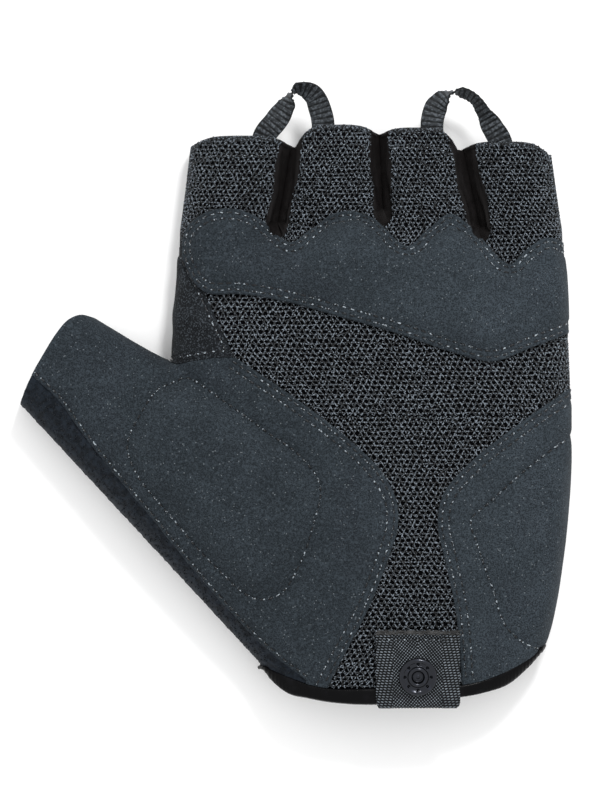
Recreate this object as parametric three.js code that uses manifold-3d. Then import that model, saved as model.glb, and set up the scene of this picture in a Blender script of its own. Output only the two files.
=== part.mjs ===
// Cycling mitt for the left hand: a padded glove with open finger ends, lying on its back, palm up.
// Millimetres. +X runs from the thumb to the little finger, +Y from the wrist to the fingertips and
// +Z up out of the palm. The origin is on the floor under the middle of the glove.
import * as THREE from "three";
import { mergeVertices } from "three/addons/utils/BufferGeometryUtils.js";
import Module from "manifold-3d";

const wasm = await Module();
wasm.setup();

// Overall sizes
const BODY_LENGTH = 151; // cuff hem to the middle finger's hem
const PALM_WIDTH = 103.5; // across the knuckles
const PALM_DEPTH = 24; // floor to the crown of the palm
const FINGER_DEPTH = 15.5; // floor to the crown of a finger
const THUMB_LENGTH = 92; // wrist corner to the thumb's hem, along the lower edge
const THUMB_WIDTH = 30; // across the thumb's mouth
const THUMB_DEPTH = 16.5; // floor to the crown of the thumb's mouth
const THUMB_SPREAD = THREE.MathUtils.degToRad(47.2); // lower edge of the thumb against the row of fingers
const SEAM_HEIGHT = 7.5; // level of the side seams, where the glove is widest
const KNUCKLE_BOW = 11; // how far the line of finger crotches bows forward in the middle

// Cloth, pads and gaps
const WALL = 1.4; // knitted mesh and back cloth
const SUEDE_PROUD = 0.5; // how far suede stands above the mesh beside it
const BAND_PROUD = 0.5; // the same for the cuff band
const THENAR_RISE = 2.2; // swell of the pad at the thumb's root
const HEEL_RISE = 2; // swell of the pad under the little finger
const KNUCKLE_RISE = 1.8; // swell of the pad across the knuckles
const PAD_RAMP = 7; // width of the slope round a pad
const KNUCKLE_PANEL = 1.3; // thickness of the knuckle panel over the mesh
const PIECE_GAP = 0.3; // clearance between neighbouring pieces
const FINGER_GAP = 0.4; // free space between neighbouring fingers
const GUSSET_WIDTH = 5.4; // gusset between two fingers, seen from the palm
const GUSSET_DEPTH = 4; // how far a gusset reaches into the palm below the crotch
const HEM_CORNER = 5.5; // how far the deepest corner of a finger's hem drops

// Wrist tab, press snap and pull loops
const TAB_WIDTH = 21.5;
const TAB_HEIGHT = 19; // hem to the tab's stitched end
const TAB_TAIL = 9; // part of the tab folded inside the cuff
const TAB_CLOTH = 1;
const TAB_CORNER = 2.5;
const TAB_OFFSET = 12; // tab's middle from the hand's middle
const SNAP_DIAMETER = 9.9;
const SNAP_THICKNESS = 1.5;
const SNAP_FROM_HEM = 8.2;
const SNAP_HOLE = 2.9;
const SNAP_PRONGS = 8;
const TAPE_WIDTH = 6.2;
const TAPE_CLOTH = 0.9;
const TAPE_TAIL = 6; // sewn length of each end inside a finger
const LOOP_RISE = 11.4; // top of a loop above the hems it spans

// How round the cross-sections are: 2 is an ellipse, more is boxier.
const CROWN_ROUNDNESS = 2.35;
const BELLY_ROUNDNESS = 2.6;
const BELLY_PRESS = 1.18; // over 1, the belly is pressed flat where it meets the floor

// Hand, wrist to knuckles. at is a share of BODY_LENGTH, left and right of PALM_WIDTH,
// depth of PALM_DEPTH and bow of KNUCKLE_BOW.
const HAND_ROWS = [
  { at: -0.1, left: -0.245, right: 0.29, depth: 0.8, bow: 0 },
  { at: 0, left: -0.256, right: 0.345, depth: 0.82, bow: 0 },
  { at: 0.06, left: -0.275, right: 0.4, depth: 0.86, bow: 0 },
  { at: 0.12, left: -0.31, right: 0.442, depth: 0.91, bow: 0 },
  { at: 0.25, left: -0.39, right: 0.478, depth: 0.98, bow: 0 },
  { at: 0.4, left: -0.465, right: 0.498, depth: 1, bow: 0 },
  { at: 0.55, left: -0.498, right: 0.5, depth: 0.99, bow: 0.15 },
  { at: 0.65, left: -0.498, right: 0.494, depth: 0.94, bow: 0.5 },
  { at: 0.73, left: -0.49, right: 0.489, depth: 0.82, bow: 0.85 },
  { at: 0.783, left: -0.483, right: 0.483, depth: 0.58, bow: 1 },
];
// Thumb, from beyond its mouth to inside the wrist. at is a share of THUMB_LENGTH, width of
// THUMB_WIDTH and depth of THUMB_DEPTH.
const THUMB_ROWS = [
  { at: -0.16, width: 0.87, depth: 0.94 },
  { at: 0, width: 1, depth: 1 },
  { at: 0.16, width: 1.15, depth: 1.08 },
  { at: 0.3, width: 1.33, depth: 1.2 },
  { at: 0.5, width: 1.56, depth: 1.33 },
  { at: 0.75, width: 1.68, depth: 1.33 },
  { at: 1, width: 1.58, depth: 1.2 },
  { at: 1.1, width: 1.45, depth: 1.12 },
];
const THUMB_ROOT = { x: -0.278, y: 0.073 }; // wrist corner: shares of PALM_WIDTH and BODY_LENGTH
// Lines between the fingers, index side first: shares of PALM_WIDTH at two heights up the glove.
const FINGER_LINES = [
  { root: -0.479, tip: -0.452 },
  { root: -0.237, tip: -0.199 },
  { root: 0.033, tip: 0.021 },
  { root: 0.274, tip: 0.227 },
  { root: 0.4795, tip: 0.449 },
];
const LINE_ROOT = 0.82; // share of BODY_LENGTH where root holds
const LINE_TIP = 0.97; // and tip
// Each finger's hem, a share of BODY_LENGTH, its crown's depth, a share of FINGER_DEPTH, and the
// drop of the hem at its two corners, a share of HEM_CORNER.
const FINGERS = [
  { name: "index", hem: 0.981, depth: 0.98, dropLeft: 0.45, dropRight: 0.55 },
  { name: "middle", hem: 1, depth: 1, dropLeft: 1, dropRight: 0.45 },
  { name: "ring", hem: 0.995, depth: 1, dropLeft: 0.35, dropRight: 1 },
  { name: "little", hem: 0.971, depth: 0.94, dropLeft: 0.4, dropRight: 0.6 },
];
// The gussets between them: width is a share of GUSSET_WIDTH.
const GUSSETS = [
  { name: "gusset_index_middle", width: 1 },
  { name: "gusset_middle_ring", width: 0.85 },
  { name: "gusset_ring_little", width: 1.12 },
];
const FINGER_START = 0.72; // fingers begin inside the hand, a share of BODY_LENGTH
const HOLLOW_END = 0.04; // and their hollows end this far beyond their hems

// Outlines on the palm, as shares of PALM_WIDTH and BODY_LENGTH from the hand's middle at the hem.
const CUFF_ROWS = [
  { x: -0.36, hem: 0.035, seam: 0.055 },
  { x: -0.271, hem: 0.064, seam: 0.07 },
  { x: -0.25, hem: 0.046, seam: 0.063 },
  { x: -0.21, hem: 0.0235, seam: 0.052 },
  { x: -0.16, hem: 0.0155, seam: 0.04 },
  { x: -0.1, hem: 0.0085, seam: 0.032 },
  { x: 0.005, hem: 0.005, seam: 0.0325 },
  { x: 0.225, hem: 0.017, seam: 0.038 },
  { x: 0.285, hem: 0.0245, seam: 0.048 },
  { x: 0.342, hem: 0.038, seam: 0.0635 },
  { x: 0.392, hem: 0.067, seam: 0.0825 },
  { x: 0.42, hem: 0.089, seam: 0.098 },
  { x: 0.48, hem: 0.13, seam: 0.136 },
];
const BACK_CLOTH_EDGE = [
  { x: -0.56, y: 0.9 },
  { x: -0.505, y: 0.835 },
  { x: -0.465, y: 0.773 },
  { x: -0.419, y: 0.711 },
  { x: -0.382, y: 0.655 },
  { x: -0.344, y: 0.601 },
];
const THUMB_CROTCH_EDGE = [
  { x: -0.344, y: 0.601 },
  { x: -0.389, y: 0.601 },
  { x: -0.445, y: 0.595 },
  { x: -0.492, y: 0.592 },
  { x: -0.515, y: 0.62 },
  { x: -0.56, y: 0.75 },
  { x: -0.62, y: 1.1 },
];
const THUMB_PANEL_EDGE = [
  { x: -0.344, y: 0.601 },
  { x: -0.269, y: 0.567 },
  { x: -0.178, y: 0.524 },
  { x: -0.06, y: 0.462 },
  { x: 0.025, y: 0.404 },
  { x: 0.063, y: 0.354 },
  { x: 0.065, y: 0.306 },
  { x: 0.04, y: 0.251 },
  { x: -0.01, y: 0.165 },
  { x: -0.09, y: 0.06 },
  { x: -0.166, y: -0.05 },
];
const HEEL_PANEL_EDGE = [
  { x: 0.575, y: 0.584 },
  { x: 0.495, y: 0.545 },
  { x: 0.374, y: 0.488 },
  { x: 0.246, y: 0.419 },
  { x: 0.178, y: 0.363 },
  { x: 0.166, y: 0.311 },
  { x: 0.186, y: 0.247 },
  { x: 0.211, y: 0.165 },
  { x: 0.226, y: 0.045 },
  { x: 0.239, y: -0.05 },
];
const KNUCKLE_PANEL_EDGE = [
  { x: -0.47, y: 0.77 },
  { x: -0.465, y: 0.816 },
  { x: -0.419, y: 0.847 },
  { x: -0.354, y: 0.856 },
  { x: -0.294, y: 0.844 },
  { x: -0.201, y: 0.794 },
  { x: -0.153, y: 0.816 },
  { x: -0.098, y: 0.846 },
  { x: -0.048, y: 0.851 },
  { x: 0.003, y: 0.837 },
  { x: 0.09, y: 0.789 },
  { x: 0.138, y: 0.816 },
  { x: 0.196, y: 0.847 },
  { x: 0.244, y: 0.825 },
  { x: 0.344, y: 0.758 },
  { x: 0.387, y: 0.784 },
  { x: 0.442, y: 0.806 },
  { x: 0.55, y: 0.763 },
  { x: 0.6, y: 0.71 },
  { x: 0.55, y: 0.663 },
  { x: 0.399, y: 0.617 },
  { x: 0.301, y: 0.593 },
  { x: 0.206, y: 0.608 },
  { x: 0.063, y: 0.641 },
  { x: -0.093, y: 0.672 },
  { x: -0.219, y: 0.696 },
  { x: -0.329, y: 0.708 },
  { x: -0.409, y: 0.71 },
  { x: -0.447, y: 0.734 },
];
const THENAR_PAD_EDGE = [
  { x: -0.467, y: 0.565 },
  { x: -0.367, y: 0.524 },
  { x: -0.259, y: 0.471 },
  { x: -0.178, y: 0.431 },
  { x: -0.128, y: 0.38 },
  { x: -0.146, y: 0.311 },
  { x: -0.178, y: 0.247 },
  { x: -0.229, y: 0.194 },
  { x: -0.291, y: 0.187 },
  { x: -0.394, y: 0.244 },
  { x: -0.5, y: 0.327 },
  { x: -0.585, y: 0.399 },
  { x: -0.61, y: 0.449 },
  { x: -0.578, y: 0.502 },
  { x: -0.528, y: 0.548 },
];
const HEEL_PAD_EDGE = [
  { x: 0.6, y: 0.49 },
  { x: 0.495, y: 0.461 },
  { x: 0.389, y: 0.409 },
  { x: 0.294, y: 0.351 },
  { x: 0.249, y: 0.321 },
  { x: 0.264, y: 0.28 },
  { x: 0.304, y: 0.201 },
  { x: 0.339, y: 0.136 },
  { x: 0.42, y: 0.1 },
  { x: 0.6, y: 0.12 },
];
// Where the towelling of the thumb's back ends on its underside, from the crotch to the wrist.
const THUMB_BACK_EDGE = [
  { x: -0.62, y: 1.1 },
  { x: -0.56, y: 0.75 },
  { x: -0.515, y: 0.62 },
  { x: -0.492, y: 0.592 },
  { x: -0.44, y: 0.491 },
  { x: -0.394, y: 0.354 },
  { x: -0.34, y: 0.19 },
  { x: -0.262, y: 0.05 },
  { x: -0.235, y: -0.05 },
];
// Thumb mouth and the edge of the towelling on the palm side: along is a share of THUMB_LENGTH
// towards the wrist, across a share of THUMB_WIDTH from the lower edge.
const THUMB_MOUTH = [
  { along: 0.03, across: -0.2 },
  { along: 0, across: 0 },
  { along: -0.03, across: 0.2 },
  { along: -0.055, across: 0.43 },
  { along: -0.076, across: 0.667 },
  { along: -0.08, across: 0.8 },
  { along: -0.068, across: 0.9 },
  { along: -0.026, across: 0.985 },
  { along: 0.02, across: 1.1 },
];
const TOWELLING_EDGE = [
  { along: -0.2, across: 0.19 },
  { along: 0, across: 0.262 },
  { along: 0.08, across: 0.268 },
  { along: 0.15, across: 0.24 },
  { along: 0.3, across: 0.2 },
  { along: 0.49, across: 0.173 },
  { along: 0.74, across: 0.125 },
  { along: 0.92, across: 0.123 },
  { along: 1.01, across: 0.143 },
  { along: 1.12, across: 0.2 },
];
// Pull loops. from and to are places across a finger, -1 to 1. In path, across is a share of the
// way between the two feet, rise of LOOP_RISE, and turn of a half twist of the tape.
const LOOPS = [
  {
    name: "loop_index_middle",
    from: { finger: 0, place: 0.45 },
    to: { finger: 1, place: -0.33 },
    path: [
      { across: 0.2, rise: 0.3, turn: 0.1 },
      { across: 0.37, rise: 0.61, turn: 0.3 },
      { across: 0.43, rise: 0.8, turn: 0.5 },
      { across: 0.58, rise: 0.93, turn: 0.72 },
      { across: 0.83, rise: 0.73, turn: 0.88 },
      { across: 0.95, rise: 0.35, turn: 0.97 },
    ],
  },
  {
    name: "loop_ring_little",
    from: { finger: 2, place: 0.34 },
    to: { finger: 3, place: -0.13 },
    path: [
      { across: 0.04, rise: 0.4, turn: 0.08 },
      { across: 0.14, rise: 0.7, turn: 0.3 },
      { across: 0.27, rise: 0.88, turn: 0.5 },
      { across: 0.45, rise: 0.94, turn: 0.66 },
      { across: 0.63, rise: 0.84, turn: 0.66 },
      { across: 0.74, rise: 0.62, turn: 0.7 },
      { across: 0.88, rise: 0.3, turn: 0.88 },
    ],
  },
];

// How finely the pieces are faceted
const HAND_FACETS = { rows: 20, crown: 24, belly: 12 };
const THUMB_FACETS = { rows: 14, crown: 14, belly: 8 };
const FINGER_FACETS = { rows: 6, crown: 12, belly: 8 };
const INNER_SHARE = 0.6; // the hollow is faceted more coarsely than the outside
const CURVE_STEPS = 2; // points between two rows of an outline
const TAPE_STEPS = 26;
const SNAP_SIDES = 24;
const TAB_CORNER_STEPS = 3;

const FAR = 2 * BODY_LENGTH; // well outside the glove
const DEEP = 10 * PALM_DEPTH;

// Tables

// The value of one column at a place between rows, on a smooth curve through them.
function column(rows, key, at) {
  const last = rows.length - 1;
  let i = 0;
  while (i < last - 1 && at > rows[i + 1].at) i++;
  const [a, b] = [rows[i], rows[i + 1]];
  const before = rows[Math.max(i - 1, 0)];
  const after = rows[Math.min(i + 2, last)];
  const span = b.at - a.at;
  const t = THREE.MathUtils.clamp((at - a.at) / span, 0, 1);
  const leaving = ((b[key] - before[key]) / (b.at - before.at)) * span;
  const arriving = ((after[key] - a[key]) / (after.at - a.at)) * span;
  const rise = b[key] - a[key];
  const bend = 3 * rise - 2 * leaving - arriving;
  return a[key] + t * leaving + t ** 2 * bend + t ** 3 * (leaving + arriving - 2 * rise);
}

// A smooth line through points, with a few more points between each two.
function smoothLine(points) {
  const spots = points.map((p) => new THREE.Vector3(p.x, p.y, 0));
  const curve = new THREE.CatmullRomCurve3(spots, false, "centripetal");
  return curve.getPoints((points.length - 1) * CURVE_STEPS).map((p) => new THREE.Vector2(p.x, p.y));
}

// A row of shares as a place on the palm.
function onPalm(row) {
  return new THREE.Vector2(row.x * PALM_WIDTH, row.y * BODY_LENGTH);
}

// A place along and across the thumb as a place on the palm.
function onThumb(along, across) {
  const root = onPalm(THUMB_ROOT);
  const back = along - THUMB_LENGTH;
  const x = root.x + back * Math.cos(THUMB_SPREAD) + across * Math.sin(THUMB_SPREAD);
  const y = root.y - back * Math.sin(THUMB_SPREAD) + across * Math.cos(THUMB_SPREAD);
  return new THREE.Vector2(x, y);
}

function thumbShare(row) {
  return onThumb(row.along * THUMB_LENGTH, row.across * THUMB_WIDTH);
}

const palmLine = (rows) => smoothLine(rows.map(onPalm));
const thumbLine = (rows) => smoothLine(rows.map(thumbShare));
const cuffLine = (key) => palmLine(CUFF_ROWS.map((row) => ({ x: row.x, y: row[key] })));

// The line between fingers, at a height up the glove.
function fingerLine(index, y) {
  const { root, tip } = FINGER_LINES[index];
  const share = Math.max(0, (y / BODY_LENGTH - LINE_ROOT) / (LINE_TIP - LINE_ROOT));
  return (root + (tip - root) * share) * PALM_WIDTH;
}

// A finger's two sides at a height up the glove, half the gap clear of its neighbours.
function fingerSides(index, y) {
  const last = FINGERS.length - 1;
  const left = fingerLine(index, y) + (index > 0 ? FINGER_GAP / 2 : 0);
  const right = fingerLine(index + 1, y) - (index < last ? FINGER_GAP / 2 : 0);
  return { left, right };
}

// Solids

function solidOf(vertProperties, triVerts) {
  return new wasm.Manifold(new wasm.Mesh({ numProp: 3, vertProperties, triVerts }));
}

function solidOfGeometry(geometry) {
  geometry.deleteAttribute("normal");
  geometry.deleteAttribute("uv");
  const merged = mergeVertices(geometry, 1e-4);
  return solidOf(merged.attributes.position.array, new Uint32Array(merged.index.array));
}

// A solid of listed corners and triangles, turned right side out if it needs that.
function facetedSolid(points, triangles) {
  const corners = new Float32Array(points.flat());
  const solid = solidOf(corners, new Uint32Array(triangles.flat()));
  const reversed = triangles.map(([a, b, c]) => [a, c, b]);
  return solid.volume() > 0 ? solid : solidOf(corners, new Uint32Array(reversed.flat()));
}

// A closed tube through rings of points. Each end is ruled between the ring's crown, which is its
// first so many sides, and its belly.
function tube(rings, crown) {
  const size = rings[0].length;
  const points = rings.flat().map((p) => [p.x, p.y, p.z]);
  const triangles = [];
  for (let r = 0; r + 1 < rings.length; r++) {
    for (let i = 0; i < size; i++) {
      const [a, b] = [r * size + i, r * size + ((i + 1) % size)];
      triangles.push([a, b, b + size], [a, b + size, a + size]);
    }
  }
  for (const first of [0, (rings.length - 1) * size]) {
    let [over, under] = [0, size - 1];
    while (under - over > 1) {
      const ahead = over < crown && (under <= crown + 1 || over / crown < (size - under) / (size - crown));
      const [a, b] = [first + over, first + under];
      const c = first + (ahead ? ++over : --under);
      triangles.push(first ? [a, c, b] : [a, b, c]);
    }
  }
  return facetedSolid(points, triangles);
}

// An upright prism over an outline on the palm, each side moved in by the given inset.
function prism(outline, inset = 0, bottom = -DEEP, top = DEEP) {
  const area = THREE.ShapeUtils.area(outline);
  const loop = area > 0 ? outline : [...outline].reverse();
  const moved = loop.map((p, i) => {
    const before = loop[(i + loop.length - 1) % loop.length];
    const after = loop[(i + 1) % loop.length];
    const a = new THREE.Vector2().subVectors(p, before).normalize();
    const b = new THREE.Vector2().subVectors(after, p).normalize();
    const miter = new THREE.Vector2(-a.y - b.y, a.x + b.x);
    const scale = inset / Math.max(0.3, 1 + a.dot(b));
    return new THREE.Vector2(p.x + miter.x * scale, p.y + miter.y * scale);
  });
  const upright = { depth: top - bottom, bevelEnabled: false };
  const shape = new THREE.ExtrudeGeometry(new THREE.Shape(moved), upright);
  return solidOfGeometry(shape.translate(0, 0, bottom));
}

const join = (solids) => solids.reduce((sum, solid) => sum.add(solid));

// Slabs above and below the side seams
const corner = (x, y) => new THREE.Vector2(x * FAR, y * FAR);
const everywhere = [corner(-1, -1), corner(1, -1), corner(1, 1), corner(-1, 1)];
const aboveSeam = prism(everywhere, 0, SEAM_HEIGHT + PIECE_GAP / 2, DEEP);
const belowSeam = prism(everywhere, 0, -DEEP, SEAM_HEIGHT - PIECE_GAP / 2);

// Pads

const PADS = [
  { edge: palmLine([...THENAR_PAD_EDGE, THENAR_PAD_EDGE[0]]), rise: THENAR_RISE },
  { edge: palmLine([...HEEL_PAD_EDGE, HEEL_PAD_EDGE[0]]), rise: HEEL_RISE },
  { edge: palmLine([...KNUCKLE_PANEL_EDGE, KNUCKLE_PANEL_EDGE[0]]), rise: KNUCKLE_RISE },
];

// How deep a place lies inside a closed outline, or 0 outside it.
function depthInside(edge, x, y) {
  let inside = false;
  let nearest = Infinity;
  for (let i = 0; i + 1 < edge.length; i++) {
    const [a, b] = [edge[i], edge[i + 1]];
    if (a.y > y !== b.y > y && x < a.x + ((b.x - a.x) * (y - a.y)) / (b.y - a.y)) inside = !inside;
    const along = new THREE.Vector2().subVectors(b, a);
    const t = THREE.MathUtils.clamp(((x - a.x) * along.x + (y - a.y) * along.y) / along.lengthSq(), 0, 1);
    nearest = Math.min(nearest, Math.hypot(a.x + t * along.x - x, a.y + t * along.y - y));
  }
  return inside ? nearest : 0;
}

// Swell of the pads at a place on the palm.
function padSwell(x, y) {
  const swells = PADS.map(({ edge, rise }) => {
    return rise * THREE.MathUtils.smoothstep(depthInside(edge, x, y), 0, PAD_RAMP);
  });
  return Math.max(...swells);
}

// The glove's form

// Height of a crown above the seams at a place across it, -1 to 1, as a share of the full height.
function crownShare(place) {
  return (1 - Math.abs(place) ** CROWN_ROUNDNESS) ** (1 / CROWN_ROUNDNESS);
}

// One cross-section of a flattened tube, from the right side over the crown, as {across, place, z}.
function crossSection({ left, right, depth }, inset, facets) {
  const half = (right - left) / 2 - inset;
  const crown = depth - SEAM_HEIGHT - inset;
  const belly = SEAM_HEIGHT - Math.max(inset, 0);
  const points = [];
  const add = (angle, roundness, height) => {
    const place = Math.sign(Math.cos(angle)) * Math.abs(Math.cos(angle)) ** (2 / roundness);
    const z = SEAM_HEIGHT + height(Math.abs(Math.sin(angle)) ** (2 / roundness));
    points.push({ across: (left + right) / 2 + half * place, place, z });
  };
  for (let i = 0; i < facets.crown; i++) {
    add((Math.PI * i) / facets.crown, CROWN_ROUNDNESS, (s) => crown * s);
  }
  for (let i = 0; i < facets.belly; i++) {
    add(Math.PI * (1 + i / facets.belly), BELLY_ROUNDNESS, (s) => -belly * Math.min(1, BELLY_PRESS * s));
  }
  return points;
}

// Rings of a limb. shape(at) gives its sides and depth, and place(at, point) where a point goes.
function limb(from, to, facets, inset, swell, shape, place) {
  const coarse = inset > 0 ? INNER_SHARE : 1;
  const scaled = (count) => Math.round((count * coarse) / 2) * 2;
  const share = { rows: scaled(facets.rows), crown: scaled(facets.crown), belly: scaled(facets.belly) };
  const rings = [];
  for (let r = 0; r <= share.rows; r++) {
    const at = from + ((to - from) * r) / share.rows;
    const ring = crossSection(shape(at), inset, share).map((point) => {
      const spot = place(at, point);
      const lift = swell && point.z > SEAM_HEIGHT ? padSwell(spot.x, spot.y) : 0;
      return new THREE.Vector3(spot.x, spot.y, point.z + lift);
    });
    rings.push(ring);
  }
  return tube(rings, share.crown);
}

function handShape(at) {
  const left = column(HAND_ROWS, "left", at) * PALM_WIDTH;
  const right = column(HAND_ROWS, "right", at) * PALM_WIDTH;
  return { left, right, depth: column(HAND_ROWS, "depth", at) * PALM_DEPTH };
}

function hand(inset, swell) {
  const from = HAND_ROWS[0].at;
  const to = HAND_ROWS[HAND_ROWS.length - 1].at;
  const place = (at, point) => {
    const bow = column(HAND_ROWS, "bow", at) * KNUCKLE_BOW * (1 - Math.abs(point.place) ** 1.5);
    const shortened = (inset * (at - from)) / (to - from);
    return { x: point.across, y: at * BODY_LENGTH + bow - shortened };
  };
  return limb(from, to, HAND_FACETS, inset, swell, handShape, place);
}

function thumb(inset, swell) {
  const shape = (at) => ({
    left: 0,
    right: column(THUMB_ROWS, "width", at) * THUMB_WIDTH,
    depth: column(THUMB_ROWS, "depth", at) * THUMB_DEPTH,
  });
  const place = (at, point) => onThumb(at * THUMB_LENGTH, point.across);
  const [from, to] = [THUMB_ROWS[0].at, THUMB_ROWS[THUMB_ROWS.length - 1].at];
  return limb(from, to, THUMB_FACETS, inset, swell, shape, place);
}

function fingerShape(index, y) {
  return { ...fingerSides(index, y), depth: FINGERS[index].depth * FINGER_DEPTH };
}

// A finger ends at its hem, whose two corners are rounded; the hollow runs on past it.
function finger(index, inset, swell) {
  const { hem, dropLeft, dropRight } = FINGERS[index];
  const to = hem + (inset > 0 ? HOLLOW_END : 0);
  const shape = (at) => fingerShape(index, at * BODY_LENGTH);
  const place = (at, point) => {
    const share = ((at - FINGER_START) / (to - FINGER_START)) * Math.abs(point.place) ** 5;
    const drop = share * HEM_CORNER * (point.place < 0 ? dropLeft : dropRight);
    return { x: point.across, y: at * BODY_LENGTH - drop };
  };
  return limb(FINGER_START, to, FINGER_FACETS, inset, swell, shape, place);
}

// The whole glove as one closed form, its skin moved in by the inset, or out if that is negative.
function form(inset, swell = false) {
  return join([hand(inset, swell), thumb(inset, swell), ...FINGERS.map((_, i) => finger(i, inset, swell))]);
}

const hollow = form(WALL);
const knitForm = form(0);
const suedeForm = form(-SUEDE_PROUD, true);
const bandForm = form(-BAND_PROUD);

// Mouth of the thumb, and the cuff

const beyondThumb = [onThumb(-FAR, 2 * THUMB_WIDTH), onThumb(-FAR, -THUMB_WIDTH)];
const thumbMouth = prism([...thumbLine(THUMB_MOUTH), ...beyondThumb]);

// Everything on the wrist side of a line across the cuff.
function belowCuffLine(key, inset) {
  const line = cuffLine(key);
  const [first, last] = [line[0], line[line.length - 1]];
  return prism([...line, new THREE.Vector2(last.x, -FAR), new THREE.Vector2(first.x, -FAR)], inset);
}

const outsidePanels = join([thumbMouth, belowCuffLine("seam", -PIECE_GAP / 2)]);

// A sewn layer between two skins of the glove, open at the mouths and the cuff.
const layer = (outside, inside) => outside.subtract(inside).subtract(outsidePanels);

// Gussets between the fingers

// A gusset's rounded foot: at is a share of GUSSET_DEPTH above its lowest point, half of its width.
const GUSSET_ROWS = [
  { at: 1.6, half: 0.5 },
  { at: 0.5, half: 0.42 },
  { at: 0, half: 0.2 },
];

function gussetOutline({ width }, index) {
  const line = index + 1;
  const place = fingerLine(line, LINE_ROOT * BODY_LENGTH) / (PALM_WIDTH / 2);
  const knuckles = HAND_ROWS[HAND_ROWS.length - 1].at * BODY_LENGTH;
  const bottom = knuckles + KNUCKLE_BOW * (1 - Math.abs(place) ** 1.5) - GUSSET_DEPTH;
  const spot = (side, y) => new THREE.Vector2(fingerLine(line, y) + side * width * GUSSET_WIDTH, y);
  const right = GUSSET_ROWS.map(({ at, half }) => spot(half, bottom + at * GUSSET_DEPTH));
  const left = GUSSET_ROWS.map(({ at, half }) => spot(-half, bottom + at * GUSSET_DEPTH));
  const beyondHems = BODY_LENGTH + GUSSET_DEPTH;
  return [spot(0.5, beyondHems), ...right, ...left.reverse(), spot(-0.5, beyondHems)];
}

const gussetOutlines = GUSSETS.map(gussetOutline);
const gussets = gussetOutlines.map((outline) => {
  return layer(knitForm, hollow).intersect(prism(outline, PIECE_GAP / 2));
});
const gussetRoom = join(gussetOutlines.map((outline) => prism(outline, -PIECE_GAP / 2)));

// Panels. Each outline runs along shared edges and closes far outside the glove.

const backClothEdge = palmLine(BACK_CLOTH_EDGE);
const thumbCrotchEdge = palmLine(THUMB_CROTCH_EDGE);
const thumbPanelEdge = palmLine(THUMB_PANEL_EDGE);
const heelPanelEdge = palmLine(HEEL_PANEL_EDGE);
const thumbBackEdge = palmLine(THUMB_BACK_EDGE);
const towellingEdge = thumbLine(TOWELLING_EDGE);

const indexWrap = prism([...backClothEdge, ...thumbCrotchEdge.slice(1)], PIECE_GAP / 2);
const meshOutline = [
  corner(-0.5, 1),
  ...backClothEdge,
  ...thumbPanelEdge.slice(1),
  corner(0, -1),
  ...[...heelPanelEdge].reverse(),
  corner(1, 1),
];
const belowThumb = [onThumb(2 * THUMB_LENGTH, -THUMB_WIDTH), onThumb(-THUMB_LENGTH, -THUMB_WIDTH)];
const towellingOutline = [...towellingEdge, ...belowThumb];
const aroundThumb = [corner(0, -1), corner(-1, -1), corner(-1, 0.5)];
const thumbOutline = [...[...thumbCrotchEdge].reverse(), ...thumbPanelEdge.slice(1), ...aroundThumb];
const heelOutline = [...heelPanelEdge, corner(0.2, -1), corner(1, -1), corner(1, 0.3)];
const thumbBackOutline = [...thumbBackEdge, ...aroundThumb];

const knitWall = layer(knitForm, hollow);
const suedeWall = layer(suedeForm, hollow).intersect(aboveSeam);

const palmMesh = knitWall
  .intersect(aboveSeam)
  .intersect(prism(meshOutline, PIECE_GAP / 2))
  .subtract(gussetRoom);
const heelPanel = suedeWall.intersect(prism(heelOutline, PIECE_GAP / 2));
const thumbPanel = suedeWall
  .intersect(prism(thumbOutline, PIECE_GAP / 2))
  .subtract(prism(towellingOutline, -PIECE_GAP / 2));
const thumbTowelling = knitWall
  .intersect(prism(towellingOutline, PIECE_GAP / 2))
  .add(knitWall.intersect(belowSeam).intersect(prism(thumbBackOutline, PIECE_GAP / 2)));
const backPanel = knitWall
  .intersect(belowSeam)
  .subtract(prism(thumbBackOutline, -PIECE_GAP / 2))
  .subtract(prism(towellingOutline, -PIECE_GAP / 2))
  .subtract(gussetRoom)
  .add(knitWall.intersect(indexWrap));
const knucklePanel = layer(form(-PIECE_GAP - KNUCKLE_PANEL, true), form(-PIECE_GAP))
  .intersect(aboveSeam)
  .intersect(prism(palmLine([...KNUCKLE_PANEL_EDGE, KNUCKLE_PANEL_EDGE[0]]).slice(1), 0))
  .subtract(gussetRoom);

// Cuff band, one ring round the wrist

const cuffBand = bandForm
  .subtract(hollow)
  .intersect(belowCuffLine("seam", PIECE_GAP / 2))
  .subtract(belowCuffLine("hem", 0));

// Wrist tab: a tape over the cuff band, folded round the hem and sewn down inside

function tabOutline(bottom, top) {
  const [left, right] = [TAB_OFFSET - TAB_WIDTH / 2, TAB_OFFSET + TAB_WIDTH / 2];
  const outline = new THREE.Shape();
  outline.moveTo(left, top).lineTo(left, bottom + TAB_CORNER);
  outline.quadraticCurveTo(left, bottom, left + TAB_CORNER, bottom);
  outline.lineTo(right - TAB_CORNER, bottom);
  outline.quadraticCurveTo(right, bottom, right, bottom + TAB_CORNER);
  outline.lineTo(right, top);
  return outline.getPoints(TAB_CORNER_STEPS);
}

function wristTab() {
  const front = BAND_PROUD + PIECE_GAP;
  const back = WALL + PIECE_GAP;
  const fold = -PIECE_GAP - TAB_CLOTH;
  const bendTop = prism(everywhere.map((p) => new THREE.Vector2(p.x, p.y > 0 ? -PIECE_GAP : p.y)));
  const skin = (outside, inside, top) =>
    form(-outside).subtract(form(-inside)).intersect(prism(tabOutline(fold, top)));
  const outer = skin(front + TAB_CLOTH, front, TAB_HEIGHT);
  const tail = skin(-back, -back - TAB_CLOTH, TAB_TAIL);
  const bend = skin(front + TAB_CLOTH, -back - TAB_CLOTH, TAB_TAIL).intersect(bendTop);
  return join([outer, tail, bend]).intersect(aboveSeam);
}

// Press snap on the tab: a domed rim, a dished ring with prong dents and a raised socket lip

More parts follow.
